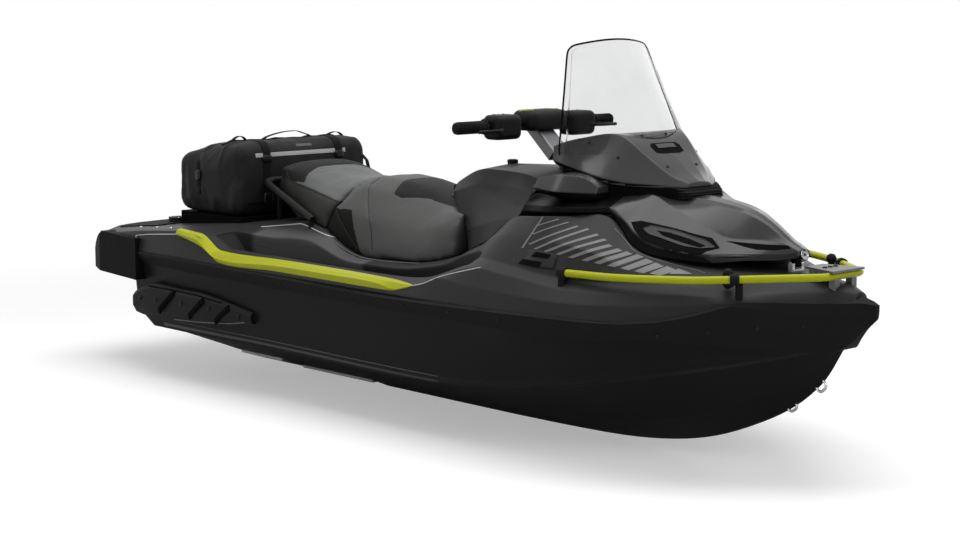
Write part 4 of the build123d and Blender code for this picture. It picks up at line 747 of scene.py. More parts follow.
as_loaded = bpy.context.evaluated_depsgraph_get()
SIDE_START, ROOF_START, SCREW_START, NOSE_START = 900, 1500, 1600, 1300
DOWN, UP = Vector((0, 0, -1)), Vector((0, 0, 1))
hit_trees = {}


def probe(node_names, start, way):
    """Where a ray from start meets the nearest of those nodes: the point and the outward normal."""
    best = None
    for name in node_names:
        if name not in hit_trees:
            hit_trees[name] = BVHTree.FromObject(bpy.data.objects[name], as_loaded)
        spot, normal, _, distance = hit_trees[name].ray_cast(start, way)
        if spot is not None and (best is None or distance < best[2]):
            best = (spot, normal if normal.dot(way) < 0 else -normal, distance)
    return best


def from_side(names, x, z, side=-1, lift=0.0):
    """The point on those nodes seen from the side, lifted off the surface by so many millimetres."""
    found = probe(names, at(x, side * SIDE_START, z), Vector((0, -side, 0)))
    return None if found is None else found[0] + found[1] * (lift / 1000)


def from_above(names, x, y, lift=0.0):
    found = probe(names, at(x, y, ROOF_START), DOWN)
    return None if found is None else found[0] + found[1] * (lift / 1000)


print("tools ready")

# %% [markdown]
# A film is paint or tape that lies on a moulding: stripes, tone panels, bright lines. It could be
# painted in the shader, but a thin sheet laid on the surface keeps a crisp edge at any distance. The
# outline is drawn flat, cut into a fine net, and every point of the net is dropped on the moulding.

# %% Tool: film
def film(name, outlines, names, material, lift=0.6, step=18, above=False, sides=(-1, 1), body="craft"):
    """Thin sheets laid on the nodes. Outlines are x, z pairs from the side, or x, y pairs from above."""
    points, faces = [], []
    for side in sides:
        for outline in outlines:
            net = bmesh.new()
            net.faces.new([net.verts.new((u, v, 0)) for u, v in outline])
            for axis in (0, 1):
                low = min(p[axis] for p in outline)
                high = max(p[axis] for p in outline)
                for k in range(1, int((high - low) / step) + 1):
                    spot, normal = [0, 0, 0], [0, 0, 0]
                    spot[axis], normal[axis] = low + k * step, 1
                    everything = net.verts[:] + net.edges[:] + net.faces[:]
                    bmesh.ops.bisect_plane(net, geom=everything, plane_co=spot, plane_no=normal, dist=0.001)
            bmesh.ops.triangulate(net, faces=net.faces[:])
            net.verts.index_update()
            start = len(points)
            laid = []
            for v in net.verts:
                if above:
                    spot = from_above(names, v.co.x, side * abs(v.co.y) if len(sides) > 1 else v.co.y, lift)
                else:
                    spot = from_side(names, v.co.x, v.co.y, side, lift)
                laid.append(spot)
            points += [spot or Vector((0, 0, 0)) for spot in laid]
            for f in net.faces:
                corners = [v.index for v in f.verts]
                if all(laid[c] is not None for c in corners):
                    longest = max((laid[a] - laid[b]).length for a in corners for b in corners)
                    if longest < step * 0.006:
                        faces.append([start + c for c in (corners if side < 0 else corners[::-1])])
            net.free()
    return piece(name, points, faces, material, body)


print("film tool ready")

# %% [markdown]
# ## Upholstery
#
# A seat is foam cut to shape, with a cover sewn from panels. Where the seams pull the cover down the
# foam crowns between them. So each cushion starts as a copy of its CAD solid, remeshed to an even
# skin and drawn in a little. Then cloth is simulated over it with air pressure from inside, while the
# points along the seams and under the seat are pinned. The move of every point is capped, so that the
# cushion keeps its size. The result is applied to the mesh, and no simulation stays in the file.

# %% Tool: upholster
def swell(thing, pinned, pressure, cap, frames=12):
    """Blow the mesh up as cloth, hold the pinned points, and cap how far a point may move."""
    group = thing.vertex_groups.new(name="held")
    for index, weight in pinned.items():
        group.add([index], weight, "REPLACE")
    rest = [v.co.copy() for v in thing.data.vertices]
    cloth = thing.modifiers.new("cover", "CLOTH")
    cloth.settings.use_pressure, cloth.settings.uniform_pressure_force = True, pressure
    cloth.settings.vertex_group_mass = "held"
    cloth.settings.effector_weights.gravity = 0
    cloth.settings.quality, cloth.settings.mass = 4, 0.3
    cloth.settings.tension_stiffness = cloth.settings.compression_stiffness = 15
    cloth.settings.bending_stiffness = 0.5
    for frame_number in range(1, frames + 1):
        bpy.context.scene.frame_set(frame_number)
    blown = thing.evaluated_get(bpy.context.evaluated_depsgraph_get()).data
    moved = [v.co.copy() for v in blown.vertices]
    thing.modifiers.remove(cloth)
    bpy.context.scene.frame_set(1)
    for v, old, new in zip(thing.data.vertices, rest, moved):
        step = new - old
        if step.length > cap:
            step *= cap / step.length
        v.co = old + step
    thing.vertex_groups.clear()


def even_skin(name, source, voxel, smooth_turns):
    """A new object with the source's shape, remeshed to even faces and smoothed."""
    thing = bpy.data.objects.new(name, source.data.copy())
    bpy.context.scene.collection.objects.link(thing)
    remesh = thing.modifiers.new("even", "REMESH")
    remesh.mode, remesh.voxel_size, remesh.use_smooth_shade = "VOXEL", voxel, True
    skin = bpy.data.meshes.new_from_object(thing.evaluated_get(bpy.context.evaluated_depsgraph_get()))
    thing.modifiers.remove(remesh)
    thing.data = skin
    net = bmesh.new()
    net.from_mesh(skin)
    for _ in range(smooth_turns):
        bmesh.ops.smooth_vert(net, verts=net.verts[:], factor=0.5, use_axis_x=True, use_axis_y=True,
                              use_axis_z=True)
    net.to_mesh(skin)
    net.free()
    return thing


def seam_finder(seams, gap=0.002):
    spots = [p for line in seams for p in stepped(line, gap)]
    tree = KDTree(len(spots))
    for index, spot in enumerate(spots):
        tree.insert(spot, index)
    tree.balance()
    return lambda point: tree.find(point)[2]


def refine(thing):
    """One step of subdivision, applied."""
    division = thing.modifiers.new("fine", "SUBSURF")
    division.levels = division.render_levels = 1
    finer = bpy.data.meshes.new_from_object(thing.evaluated_get(bpy.context.evaluated_depsgraph_get()))
    thing.modifiers.remove(division)
    thing.data = finer
    finer.shade_smooth()


def both_ways(line):
    """A line on the starboard side and its mirror image, joined over the middle."""
    return line + [Vector((p.x, -p.y, p.z)) for p in reversed(line)]


def laid_on(thing, line, lift=0.0):
    """The line's points moved to the nearest place on a mesh, and out by the lift."""
    tree = BVHTree.FromObject(thing, bpy.context.evaluated_depsgraph_get())
    out = []
    for p in line:
        spot, normal, _, _ = tree.find_nearest(p)
        out.append(spot + normal * lift)
    return out


def stepped(line, gap=0.012):
    """More points along a line, about one each gap."""
    out = []
    for a, b in zip(line, line[1:]):
        count = max(1, int((b - a).length / gap))
        out += [a.lerp(b, k / count) for k in range(count)]
    return out + [line[-1]]


def groove(thing, seams, width, depth):
    """Pull the cover in along its seams."""
    away = seam_finder(seams)
    for v in thing.data.vertices:
        near = away(v.co)
        if near < width:
            v.co -= v.normal * depth * (1 - near / width) ** 2


def tones(thing, materials, choose):
    """One finish for each face, chosen from where the face is."""
    thing.data.materials.clear()
    for material in materials:
        thing.data.materials.append(material)
    for face in thing.data.polygons:
        face.material_index = choose(*builder(face.center))


def builder(p):
    """How far a point is from the stern, the centreline and the keel, in millimetres."""
    return (p.x - stern_x) * 1000, p.y * 1000, (p.z - keel_z) * 1000


print("upholstery tools ready")

# %% [markdown]
# The saddle has two panels: the rider's hollow, and a rear panel that runs down each side behind a
# vertical seam. A darker bolster pad lies on the hollow's front, shaped like a crescent. The cover is
# held where it touches the deck and the console, and each seam gets a groove and a line of thread.

# %% Saddle
VOXEL = 0.010
TOUCH = 0.014  # how near the CAD solid beside it a cover still counts as held
SEAT_PRESSURE, SEAT_CAP = 3.0, 0.006
SEAM_WIDTH, SEAM_DEPTH = 0.011, 0.0035
THREAD_LIFT, THREAD_RADIUS = 0.0004, 0.0011
saddle = even_skin("saddle_cover", bpy.data.objects["saddle"], VOXEL, 4)
rear_seam = both_ways([at(1606, -283, 600), at(1580, -270, 676), at(1547, -251, 730), at(1499, -214, 784),
                       at(1454, -165, 835), at(1436, -90, 858)])
side_seam = [[at(1360, side * 262, 735), at(1392, side * 262, 700), at(1470, side * 284, 640),
              at(1520, side * 286, 600)] for side in (-1, 1)]
bolster_rim = both_ways([at(1950, -142, 800), at(1850, -122, 790), at(1754, -122, 802), at(1690, -146, 800),
                         at(1640, -168, 798), at(1600, -166, 812), at(1580, -120, 838), at(1562, -60, 850)])
saddle_seams = [laid_on(saddle, stepped(line)) for line in (rear_seam, bolster_rim, *side_seam)]
saddle_rest = BVHTree.FromObject(bpy.data.objects["deck"], as_loaded)
console_rest = BVHTree.FromObject(bpy.data.objects["console"], as_loaded)


def near_support(point, trees, reach):
    return any(tree.find_nearest(point, reach)[0] is not None for tree in trees)


pins, away = {}, seam_finder(saddle_seams)
for v in saddle.data.vertices:
    if away(v.co) < VOXEL or near_support(v.co, (saddle_rest, console_rest), TOUCH):
        pins[v.index] = 1.0
swell(saddle, pins, SEAT_PRESSURE, SEAT_CAP)
groove(saddle, saddle_seams, SEAM_WIDTH, SEAM_DEPTH)
refine(saddle)


def saddle_tone(x, y, z):
    y = abs(y)
    rim = 168 - 46 * max(0.0, min(1.0, (x - 1640) / 110)) + 22 * max(0.0, (x - 1850) / 100)
    if x > 1556 + 0.0016 * y * y and y < rim and z > 765:
        return 1
    behind = x < 1530 - (z - 600) * 0.55 and z < 742 and y > 215
    return 2 if behind else 0


tones(saddle, (vinyl_saddle, vinyl_bolster, vinyl_wedge), saddle_tone)
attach(saddle, "craft")
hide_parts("saddle")
cordage("saddle_stitching", [laid_on(saddle, line, THREAD_LIFT) for line in saddle_seams], THREAD_RADIUS,
        smooth_black)
print("saddle faces", len(saddle.data.polygons))

# %% [markdown]
# The rear seat steps up behind the saddle. Its top is the lightest vinyl, its sides are dark, and a
# band of dark vinyl crosses it at the back, where a maker might print a name: it stays plain here.

# %% Rear seat
rear = even_skin("rear_seat_cover", bpy.data.objects["rear_seat"], VOXEL, 4)
edge_line = [at(1378, -246, 758), at(1313, -234, 770), at(1255, -225, 780), at(1172, -216, 792),
             at(1065, -208, 806), at(985, -202, 826), at(955, -188, 862)]
top_edges = [edge_line, [Vector((p.x, -p.y, p.z)) for p in edge_line]]
band_line = both_ways([at(1075, -178, 848), at(1050, -120, 868), at(1040, -60, 872)])
rear_seams = [laid_on(rear, stepped(line)) for line in (*top_edges, band_line)]
bar_rest = BVHTree.FromObject(bpy.data.objects["grab_bar"], as_loaded)
pins, away = {}, seam_finder(rear_seams)
for v in rear.data.vertices:
    if away(v.co) < VOXEL or near_support(v.co, (saddle_rest, bar_rest), TOUCH):
        pins[v.index] = 1.0
swell(rear, pins, SEAT_PRESSURE, SEAT_CAP)
groove(rear, rear_seams, SEAM_WIDTH, SEAM_DEPTH)
refine(rear)


def rear_tone(x, y, z):
    y = abs(y)
    shoulder = 826 - (x - 985) * 0.170
    if z < shoulder and y > 120 or x < 925:
        return 1
    return 2 if x < 1040 + 0.0011 * y * y and z > 820 else 0


tones(rear, (vinyl_top, vinyl_side, vinyl_bolster), rear_tone)
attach(rear, "craft")
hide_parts("rear_seat")
cordage("rear_seat_stitching", [laid_on(rear, line, THREAD_LIFT) for line in rear_seams], THREAD_RADIUS,
        smooth_black)
print("rear seat faces", len(rear.data.polygons))

# %% [markdown]
# ## Cargo bag
#
# The bag is a soft dry duffel strapped to the deck behind the seat. Its roof falls towards the stern,
# its ends sag between the straps, and its cloth folds. It starts from the CAD box too, but the box is
# first pushed into the bag's shape: a lower aft shoulder and ends that draw in. The cloth simulation
# then fills it, held down along the straps and round the base. Small folds are added after it,
# because cloth this coarse can't crease finer than its own net.

# %% Bag shell
BAG_VOXEL = 0.013
STRAP_HALF, SEWN_RIM = 0.017, 0.012
BAG_PRESSURE, BAG_CAP, CORNER_PUSH, BAG_SPARE = 1.4, 0.012, 0.055, 0.004
bag = even_skin("bag_shell", bpy.data.objects["cargo_bag"], BAG_VOXEL, 1)
bag_low, bag_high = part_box("cargo_bag")
bag_middle = (bag_low + bag_high) / 2
bag_half = (bag_high - bag_low) / 2
strap_y = 0.190
for v in bag.data.vertices:
    along = min(1.0, max(0.0, (v.co.x - bag_low.x) / (2 * bag_half.x)))
    across = (v.co.y - bag_middle.y) / bag_half.y
    up = min(1.0, max(0.0, (v.co.z - bag_low.z) / (2 * bag_half.z)))
    drop = 0.062 * max(0.0, 1 - along) ** 1.6 + 0.006 * across ** 4 + 0.006 * max(0.0,
        math.cos(across * math.pi * 0.9))
    v.co.z -= drop * up ** 1.6
    v.co.y -= 0.010 * across * up ** 2 * abs(across)
    v.co.x += 0.010 * (1 - up) * (1 - along) - 0.006 * up * along
pins = {}
for v in bag.data.vertices:
    if abs(abs(v.co.y) - strap_y) < STRAP_HALF or v.co.z < bag_low.z + SEWN_RIM:
        pins[v.index] = 1.0
swell(bag, pins, BAG_PRESSURE, BAG_CAP)
for v in bag.data.vertices:
    square = Vector(((v.co.x - bag_middle.x) / bag_half.x, (v.co.y - bag_middle.y) / bag_half.y,
                     (v.co.z - bag_middle.z) / bag_half.z))
    corner = max(0.0, min(abs(square.x), abs(square.y)) - 0.72) + max(0.0,
        min(abs(square.y), abs(square.z)) - 0.74) * 0.6
    v.co.x += math.copysign(CORNER_PUSH * corner, square.x)
    v.co.y += math.copysign(CORNER_PUSH * corner, square.y)
refine(bag)
for v in bag.data.vertices:
    free = min(1.0, max(0.0, abs(abs(v.co.y) - strap_y) - 0.02) / 0.06) * min(1.0,
        (v.co.z - bag_low.z) / 0.03)
    hanging = noise.noise(Vector((v.co.x * 9, v.co.y * 9, v.co.z * 2.2)))
    crossing = noise.noise(Vector((v.co.x * 22, v.co.y * 20, v.co.z * 11)) + Vector((5, 3, 1)))
    ridge = 1 - min(1.0, abs(hanging) * 3.2)
    v.co += v.normal * free * (0.0060 * ridge + 0.0026 * crossing - 0.0042)
    v.co.x = min(max(v.co.x, bag_low.x - BAG_SPARE), bag_high.x + BAG_SPARE)
    v.co.y = min(max(v.co.y, bag_low.y - BAG_SPARE), bag_high.y + BAG_SPARE)
    v.co.z = max(v.co.z, bag_low.z)
bag.data.update()
settle(bag, bag_fabric, "craft")
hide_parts("cargo_bag")
bag_tree = BVHTree.FromObject(bag, bpy.context.evaluated_depsgraph_get())
print("bag faces", len(bag.data.polygons))

# %% [markdown]
# Webbing is flat, and a voxel remesh would erase it, so straps are modelled directly. A ribbon takes
# two rows of points laid on the bag and a thickness. Each strap goes up the front, over the roof and
# down behind, and every row is found by casting a ray at the bag from outside.

# %% Tool: ribbon
def ribbon(name, lefts, rights, outs, thickness, material, body="craft"):
    """A flat band between two rows of points, as thick as given, standing out along outs."""
    points, faces = [], []
    for left, right, out in zip(lefts, rights, outs):
        edge = (right - left) * 0.06
        points += [left, left + out * thickness * 0.8, left + edge + out * thickness,
                   right - edge + out * thickness, right + out * thickness * 0.8, right]
    count = len(lefts)
    for k in range(count - 1):
        for c in range(6):
            a, b = k * 6 + c, k * 6 + (c + 1) % 6
            faces.append((a, a + 6, b + 6, b))
    faces.append(tuple(range(6)))
    faces.append(tuple(reversed(range((count - 1) * 6, count * 6))))
    return piece(name, points, faces, material, body)


def round_bag(y, angles, width, lift=0.0006):
    """Rows of points round the bag in a plane across it. Angles turn from the front over the roof."""
    lefts, rights, outs = [], [], []
    for angle in angles:
        out = Vector((math.cos(math.radians(angle)), 0, math.sin(math.radians(angle))))
        pair = []
        for shift in (-width / 2, width / 2):
            heart = Vector((bag_middle.x, y + shift, bag_middle.z - 0.02))
            spot, _, _, _ = bag_tree.ray_cast(heart + out * 0.6, -out)
            pair.append(spot if spot is not None else heart + out * 0.2)
        lefts.append(pair[0] + out * lift)
        rights.append(pair[1] + out * lift)
        outs.append(out)
    return lefts, rights, outs


for side in (-1, 1):
    lefts, rights, outs = round_bag(side * strap_y, range(-34, 216, 3), 0.038, 0.0012)
    strap = ribbon(f"bag_strap_{'port' if side > 0 else 'starboard'}", lefts, rights, outs, 0.0022, webbing)
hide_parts("bag_straps")
print("straps follow the bag")

# %% [markdown]
# The tape on the bag's front is a narrow reflective band. It runs under both straps, so it is laid
# closer to the cloth than they are.

# %% Reflective tape and small patches
BAND_STEPS = 60


def on_front(y, z, lift=0.0005):
    spot, _, _, _ = bag_tree.ray_cast(Vector((bag_high.x + 0.3, y, z)), Vector((-1, 0, 0)))
    return spot + Vector((lift, 0, 0)) if spot is not None else None


def front_band(name, y_from, y_to, z, height, material, lift=0.0006, thickness=0.0008):
    rows = [y_from + (y_to - y_from) * k / BAND_STEPS for k in range(BAND_STEPS + 1)]
    lows, highs = [on_front(y, z - height / 2, lift) for y in rows], [on_front(y, z + height / 2, lift)
        for y in rows]
    good = [(a, b) for a, b in zip(lows, highs) if a is not None and b is not None]
    return ribbon(name, [a for a, _ in good], [b for _, b in good], [Vector((1, 0, 0))] * len(good),
                  thickness, material)


tape_z = keel_z + 0.915
front_band("bag_tape", -0.245, 0.225, tape_z, 0.017, reflective_tape)
front_band("bag_patch", -0.02, 0.06, bag_high.z - 0.030, 0.010, grey_cloth)
front_band("bag_hem", -0.300, 0.300, bag_low.z + 0.055, 0.012, webbing)
print("tape at", round(tape_z, 3))

# %% [markdown]
# Buckles, zip, grab loops. A side-release buckle is a rounded plate at this size; each strap has one
# low on the front and a smaller slider above it. Carry loops stand a little proud of the roof. The
# zip is a row of small teeth on a tape, and a cord with small blocks along it shows that well enough.

# %% Buckles and loops
def ring_faces(start, rings, count):
    """Faces that join rings of points, each with that count, from the point numbered start."""
    faces = []
    for ring in range(rings - 1):
        for k in range(count):
            a, b = start + ring * count + k, start + ring * count + (k + 1) % count
            faces.append((a, b, b + count, a + count))
    return faces


def plate(name, centre, right, up, sizes, thickness, material, body="craft", round_off=0.25):
    """A rounded, slightly domed plate. Sizes are its width and height."""
    out = right.cross(up).normalized()
    points = [centre + out * thickness]
    rings = ((1.0, 0.0), (1.0, 0.55), (0.9, 0.92), (0.55, 1.0))
    count = 24
    for share, high in rings:
        for k in range(count):
            angle = math.tau * k / count
            c, s = math.cos(angle), math.sin(angle)
            stretch = (abs(c) ** (2 / round_off) + abs(s) ** (2 / round_off)) ** (-round_off / 2)
            wide = right * c * stretch * share * sizes[0] / 2
            tall = up * s * stretch * share * sizes[1] / 2
            points.append(centre + wide + tall + out * thickness * high)
    last = 1 + (len(rings) - 1) * count
    faces = ring_faces(1, len(rings), count) + [(last + k, last + (k + 1) % count, 0) for k in range(count)]
    return piece(name, points, faces, material, body)


for side in (-1, 1):
    for z_up, tall in ((0.070, 0.052), (0.235, 0.030)):
        spot = on_front(side * strap_y, bag_low.z + z_up)
        plate(f"bag_buckle_{'p' if side > 0 else 's'}_{int(z_up * 1000)}", spot + Vector((0.002, 0, 0)),
              Vector((0, 1, 0)), UP, (0.046, tall), 0.008, smooth_black, round_off=0.5)


def on_roof(x, y, lift=0.0):
    spot, _, _, _ = bag_tree.ray_cast(Vector((x, y, bag_high.z + 0.3)), DOWN)
    return spot + Vector((0, 0, lift))


def loop_band(name, spots, width_way, width, material):
    way = width_way * width / 2
    outs = []
    for k in range(len(spots)):
        run = (spots[min(k + 1, len(spots) - 1)] - spots[max(k - 1, 0)]).normalized()
        outs.append(run.cross(width_way).normalized() * (1 if run.cross(width_way).z > 0 else -1))
    return ribbon(name, [p - way for p in spots], [p + way for p in spots], outs, 0.002, material)


zip_x = bag_middle.x + 0.05
for label, y_from, y_to, rise in (("carry", -0.125, 0.125, 0.030), ("starboard", -0.285, -0.215, 0.020),
                                  ("port", 0.215, 0.300, 0.014)):
    spots = []
    for k in range(17):
        y = y_from + (y_to - y_from) * k / 16
        spots.append(on_roof(zip_x + 0.045, y, 0.001 + rise * math.sin(math.pi * k / 16) ** 0.7))
    loop_band(f"bag_loop_{label}", spots, Vector((1, 0, 0)), 0.022, webbing)
zip_line = [on_roof(zip_x, -0.300 + 0.6 * k / 50, 0.0015) for k in range(51)]
cordage("bag_zip_tape", [zip_line], 0.0045, webbing)
TOOTH = ((-3, -1, 0), (3, -1, 0), (3, 1, 0), (-3, 1, 0), (-2, -.6, 1.4), (2, -.6, 1.4), (2, .6, 1.4),
         (-2, .6, 1.4))
TOOTH_FACES = ((0, 1, 5, 4), (1, 2, 6, 5), (2, 3, 7, 6), (3, 0, 4, 7), (4, 5, 6, 7), (3, 2, 1, 0))
TOOTH_COUNT, TOOTH_LIFT = 150, 0.0042
teeth, tooth_faces = [], []
for k in range(TOOTH_COUNT):
    share = k / (TOOTH_COUNT - 1) * (len(zip_line) - 1)
    low_k = min(int(share), len(zip_line) - 2)
    spot = zip_line[low_k].lerp(zip_line[low_k + 1], share - low_k) + Vector((0, 0, TOOTH_LIFT))
    start = len(teeth)
    teeth += [spot + Vector(corner) / 1000 for corner in TOOTH]
    tooth_faces += [tuple(start + c for c in f) for f in TOOTH_FACES]
piece("bag_zip_teeth", teeth, tooth_faces, smooth_black, smooth=False)
hanging = [Vector((bag_high.x - 0.02, bag_high.y - 0.035, bag_high.z - 0.075)),
           Vector((bag_high.x + 0.012, bag_high.y - 0.020, bag_high.z - 0.11)),
           Vector((bag_high.x + 0.018, bag_high.y - 0.012, bag_high.z - 0.15)),
           Vector((bag_high.x + 0.014, bag_high.y - 0.006, bag_high.z - 0.19))]
loop_band("bag_strap_tail", hanging, Vector((0, 1, 0)), 0.018, webbing)


def on_end(x, z, lift=0.001):
    spot, _, _, _ = bag_tree.ray_cast(Vector((x, bag_low.y - 0.3, z)), Vector((0, 1, 0)))
    return spot + Vector((0, -lift, 0)) if spot is not None else None


end_rows = [on_end(bag_middle.x - 0.060 + 0.020 * k / 12, bag_high.z - 0.085 - 0.012 * k)
            for k in range(13)]
loop_band("bag_end_strap", [p for p in end_rows if p is not None], Vector((1, 0, 0)), 0.020, webbing)
plate("bag_end_buckle", on_end(bag_middle.x - 0.048, bag_high.z - 0.150, 0.003), Vector((1, 0, 0)), UP,
      (0.030, 0.044), 0.007, smooth_black, round_off=0.5)
print("buckles, loops and zip")

# %% [markdown]
# ## Graphics
#
# Colour on a moulded deck is mostly film. The bars on the flank below the hood start as thin lines
# at the back and widen towards the bow. They are laid on the deck from the side, once for each side.

# %% Flank bars
stripe_grey = finish("stripe_grey", (0.155, 0.155, 0.157), 0.40, drift=0.08, scale=10.0, dust=0.03,
                     depth=0.00003, specular=0.25)
flank_bars = [
    [(2642, 794), (2726, 824), (2732, 822), (2650, 793)],
    [(2644, 769), (2761, 816), (2768, 814), (2653, 768)],
    [(2646, 737), (2798, 806), (2807, 803), (2657, 736)],
    [(2678, 724), (2839, 800), (2850, 796), (2692, 723)],
    [(2728, 721), (2882, 786), (2894, 781), (2744, 719)],
    [(2782, 716), (2914, 772), (2927, 767), (2801, 715)],
    [(2837, 711), (2939, 756), (2954, 750), (2857, 709)],
    [(2891, 706), (2970, 744), (2989, 737), (2912, 703)],
    [(2936, 700), (3000, 736), (3023, 729), (2958, 697)],
    [(2981, 694), (3035, 729), (3059, 721), (3005, 690)],
    [(3024, 687), (3068, 717), (3094, 707), (3050, 683)],
    [(3067, 680), (3099, 706), (3127, 695), (3095, 675)],
    [(3110, 675), (3133, 696), (3169, 684), (3143, 669)],
    [(3160, 675), (3165, 689), (3213, 675)],
    [(2618, 722), (2628, 722), (2668, 826), (2661, 828)],
]
film("flank_bars", flank_bars, ("deck",), stripe_grey, lift=1.3, step=7)
print(len(flank_bars), "bars a side")

# %% [markdown]
# Bright lines follow the moulding's own edges: silver lines along the seat's pedestal, along the front
# gunwale and round the stern quarter, and a pale bead beside the hood that is a painted highlight on
# that edge. Each is a thin bead that sits on the edge.

# %% Bright beads
BEAD_GAP = 22


def bead(name, runs, names, radius, material, lift=0.4):
    """A thin cord laid on both sides of the nodes along runs of (x, z) pairs."""
    lines = []
    for side in (-1, 1):
        for run in runs:
            line = []
            for (x0, z0), (x1, z1) in zip(run, run[1:]):
                pieces = max(2, int(math.hypot(x1 - x0, z1 - z0) / BEAD_GAP))
                for k in range(pieces):
                    line.append(from_side(names, x0 + (x1 - x0) * k / pieces, z0 + (z1 - z0) * k / pieces,
                                          side, lift))
            line.append(from_side(names, *run[-1], side, lift))
            line = [p for p in line if p is not None]
            if len(line) > 3:
                lines.append(line)
    return cordage(name, lines, radius, material)


edge_grey = finish("edge_grey", (0.10, 0.10, 0.102), 0.30, drift=0.08, dust=0.02, depth=0.00003,
                   specular=0.4)
bead("pedestal_bead", [[(975, 641), (1084, 655), (1195, 670), (1260, 659), (1327, 644), (1400, 622)]],
     ("deck",), 0.0026, silver_line)
skirt_line = [(1400, 298), (1440, 300), (1520, 300), (1600, 301), (1700, 302), (1800, 302), (1900, 302)]
skirt_runs = [[from_above(("deck",), x, side * y, 1.2) for x, y in skirt_line] for side in (-1, 1)]
cordage("skirt_bead", [[p for p in run if p is not None] for run in skirt_runs], 0.0022, edge_grey)
bead("gunwale_bead", [[(2192, 559), (2250, 572), (2336, 608), (2440, 636), (2498, 650)]], ("deck",), 0.0020,
     silver_line)
bead("stern_quarter_bead", [[(441, 580), (540, 594), (637, 604), (770, 616)],
                            [(441, 580), (446, 560), (470, 536)]], ("deck",), 0.0024, silver_line)
# Painted highlight: a pale grey bead on the deck's edge beside the hood, where the edge catches light.
bead("hood_side_bead", [[(2915, 802), (2960, 772), (3017, 738), (3097, 712), (3169, 694), (3237, 678)]],
     ("deck",), 0.0016, edge_grey)
print("beads laid")

# %% [markdown]
# The pale insert beside the coloured wedge's rear bend and the dark slots of the side vents are
# films too. The hull's chine carries a faint band and a bead of painted highlight, where the mould's
# edge catches light.

# %% Inserts and chine bands
insert_edge = [(905, 622), (952, 612), (1005, 583), (1110, 568), (1080, 573), (1009, 592), (960, 616)]
film("wedge_insert", [insert_edge], ("gunwale_trim", "deck"), edge_grey, lift=0.9, step=12)
# Painted highlight: a paler band and bead along the chine, where its edge catches light.
chine_highlight = finish("chine_highlight", (0.034, 0.034, 0.035), 0.30, drift=0.25, scale=4.0, dust=0.0,
                    depth=0.0001, specular=0.35)
film("chine_band", [[(560, 212), (1200, 218), (2250, 214), (2250, 224), (1200, 230), (560, 226)]],
     ("hull",), chine_highlight, lift=0.5, step=60)
bead("chine_bead", [[(700, 246), (1200, 246), (1800, 244), (2280, 243)]], ("hull",), 0.0022, chine_highlight)
film("side_vent_slots", [[(2699, 717), (2767, 714), (2759, 700), (2681, 700)],
                         [(2645, 689), (2739, 688), (2732, 670), (2632, 672)]], ("side_vents",), deep_black,
     lift=1.2, step=8)
print("inserts laid")

# %% [markdown]
# ## Hood
#
# The hood is gloss charcoal. Below its lower edge line its finish is painted matt near-black, a
# painted shadow of the gap between the hood and the deck. On each side a black louvre is let into it:
# a tapering panel with a raised lip and one long slot. At the nose a black slot runs under the ridge
# and a lip hangs over the deck. All ride with the hood.

# %% Louvres and slots
hood_nodes = ("hood",)
lip_grey = finish("lip_grey", (0.030, 0.030, 0.031), 0.34, drift=0.08, dust=0.02, depth=0.00003,
                  specular=0.3)
louvre = [(2946, 822), (2971, 827), (3086, 805), (3190, 780), (3231, 751), (3207, 743), (3198, 722),
          (3164, 726), (3099, 749), (3024, 771), (2973, 803)]
louvre_face = [(2997, 803), (3009, 812), (3086, 799), (3178, 774), (3218, 753), (3188, 750), (3146, 756),
               (3074, 775), (3024, 788)]
louvre_slot = [(3035, 798), (3075, 793), (3143, 776), (3193, 757), (3185, 752), (3136, 765), (3064, 784)]
film("hood_louvre", [louvre], hood_nodes, cavity_black, lift=0.9, step=10, body="hood_group")
film("hood_louvre_face", [louvre_face], hood_nodes, smooth_black, lift=2.2, step=10, body="hood_group")
film("hood_louvre_slot", [louvre_slot], hood_nodes, deep_black, lift=2.8, step=12, body="hood_group")
front_slot = [(3228, 772), (3283, 768), (3354, 764), (3400, 764), (3412, 755), (3368, 748), (3328, 750),
              (3288, 758)]
front_lip = [(3214, 724), (3240, 735), (3316, 736), (3405, 736), (3436, 745), (3438, 726), (3395, 718),
             (3320, 717), (3240, 708)]
film("hood_front_slot", [front_slot], hood_nodes, deep_black, lift=0.8, step=12, body="hood_group")
film("hood_front_lip", [front_lip], hood_nodes, smooth_black, lift=0.9, step=14, body="hood_group")
lip_lines = []
for side in (-1, 1):
    rim = louvre_face + louvre_face[:1]
    laid = []
    for (x0, z0), (x1, z1) in zip(rim, rim[1:]):
        for k in range(6):
            laid.append(from_side(hood_nodes, x0 + (x1 - x0) * k / 6, z0 + (z1 - z0) * k / 6, side, 2.2))
    lip_lines.append([p for p in laid if p is not None])
cordage("hood_louvre_lip", lip_lines, 0.0014, lip_grey, body="hood_group")
print("hood dressed")

# %% [markdown]
# A round badge sits on the nose. It stays generic: a turned dish with a rim and eight plain spokes.

# %% Nose badge
def turned(name, centre, axis, profile, material, body="craft", count=32):
    """A shape turned on a lathe. The profile gives radius and height along the axis, in millimetres."""
    aside = axis.orthogonal().normalized()
    other = axis.cross(aside).normalized()
    points = []
    for radius, high in profile:
        for k in range(count):
            angle = math.tau * k / count
            way = aside * math.cos(angle) + other * math.sin(angle)
            points.append(centre + way * radius / 1000 + axis * high / 1000)
    faces = ring_faces(0, len(profile), count)
    faces.append(tuple(range((len(profile) - 1) * count, len(profile) * count)))
    return piece(name, points, faces, material, body)


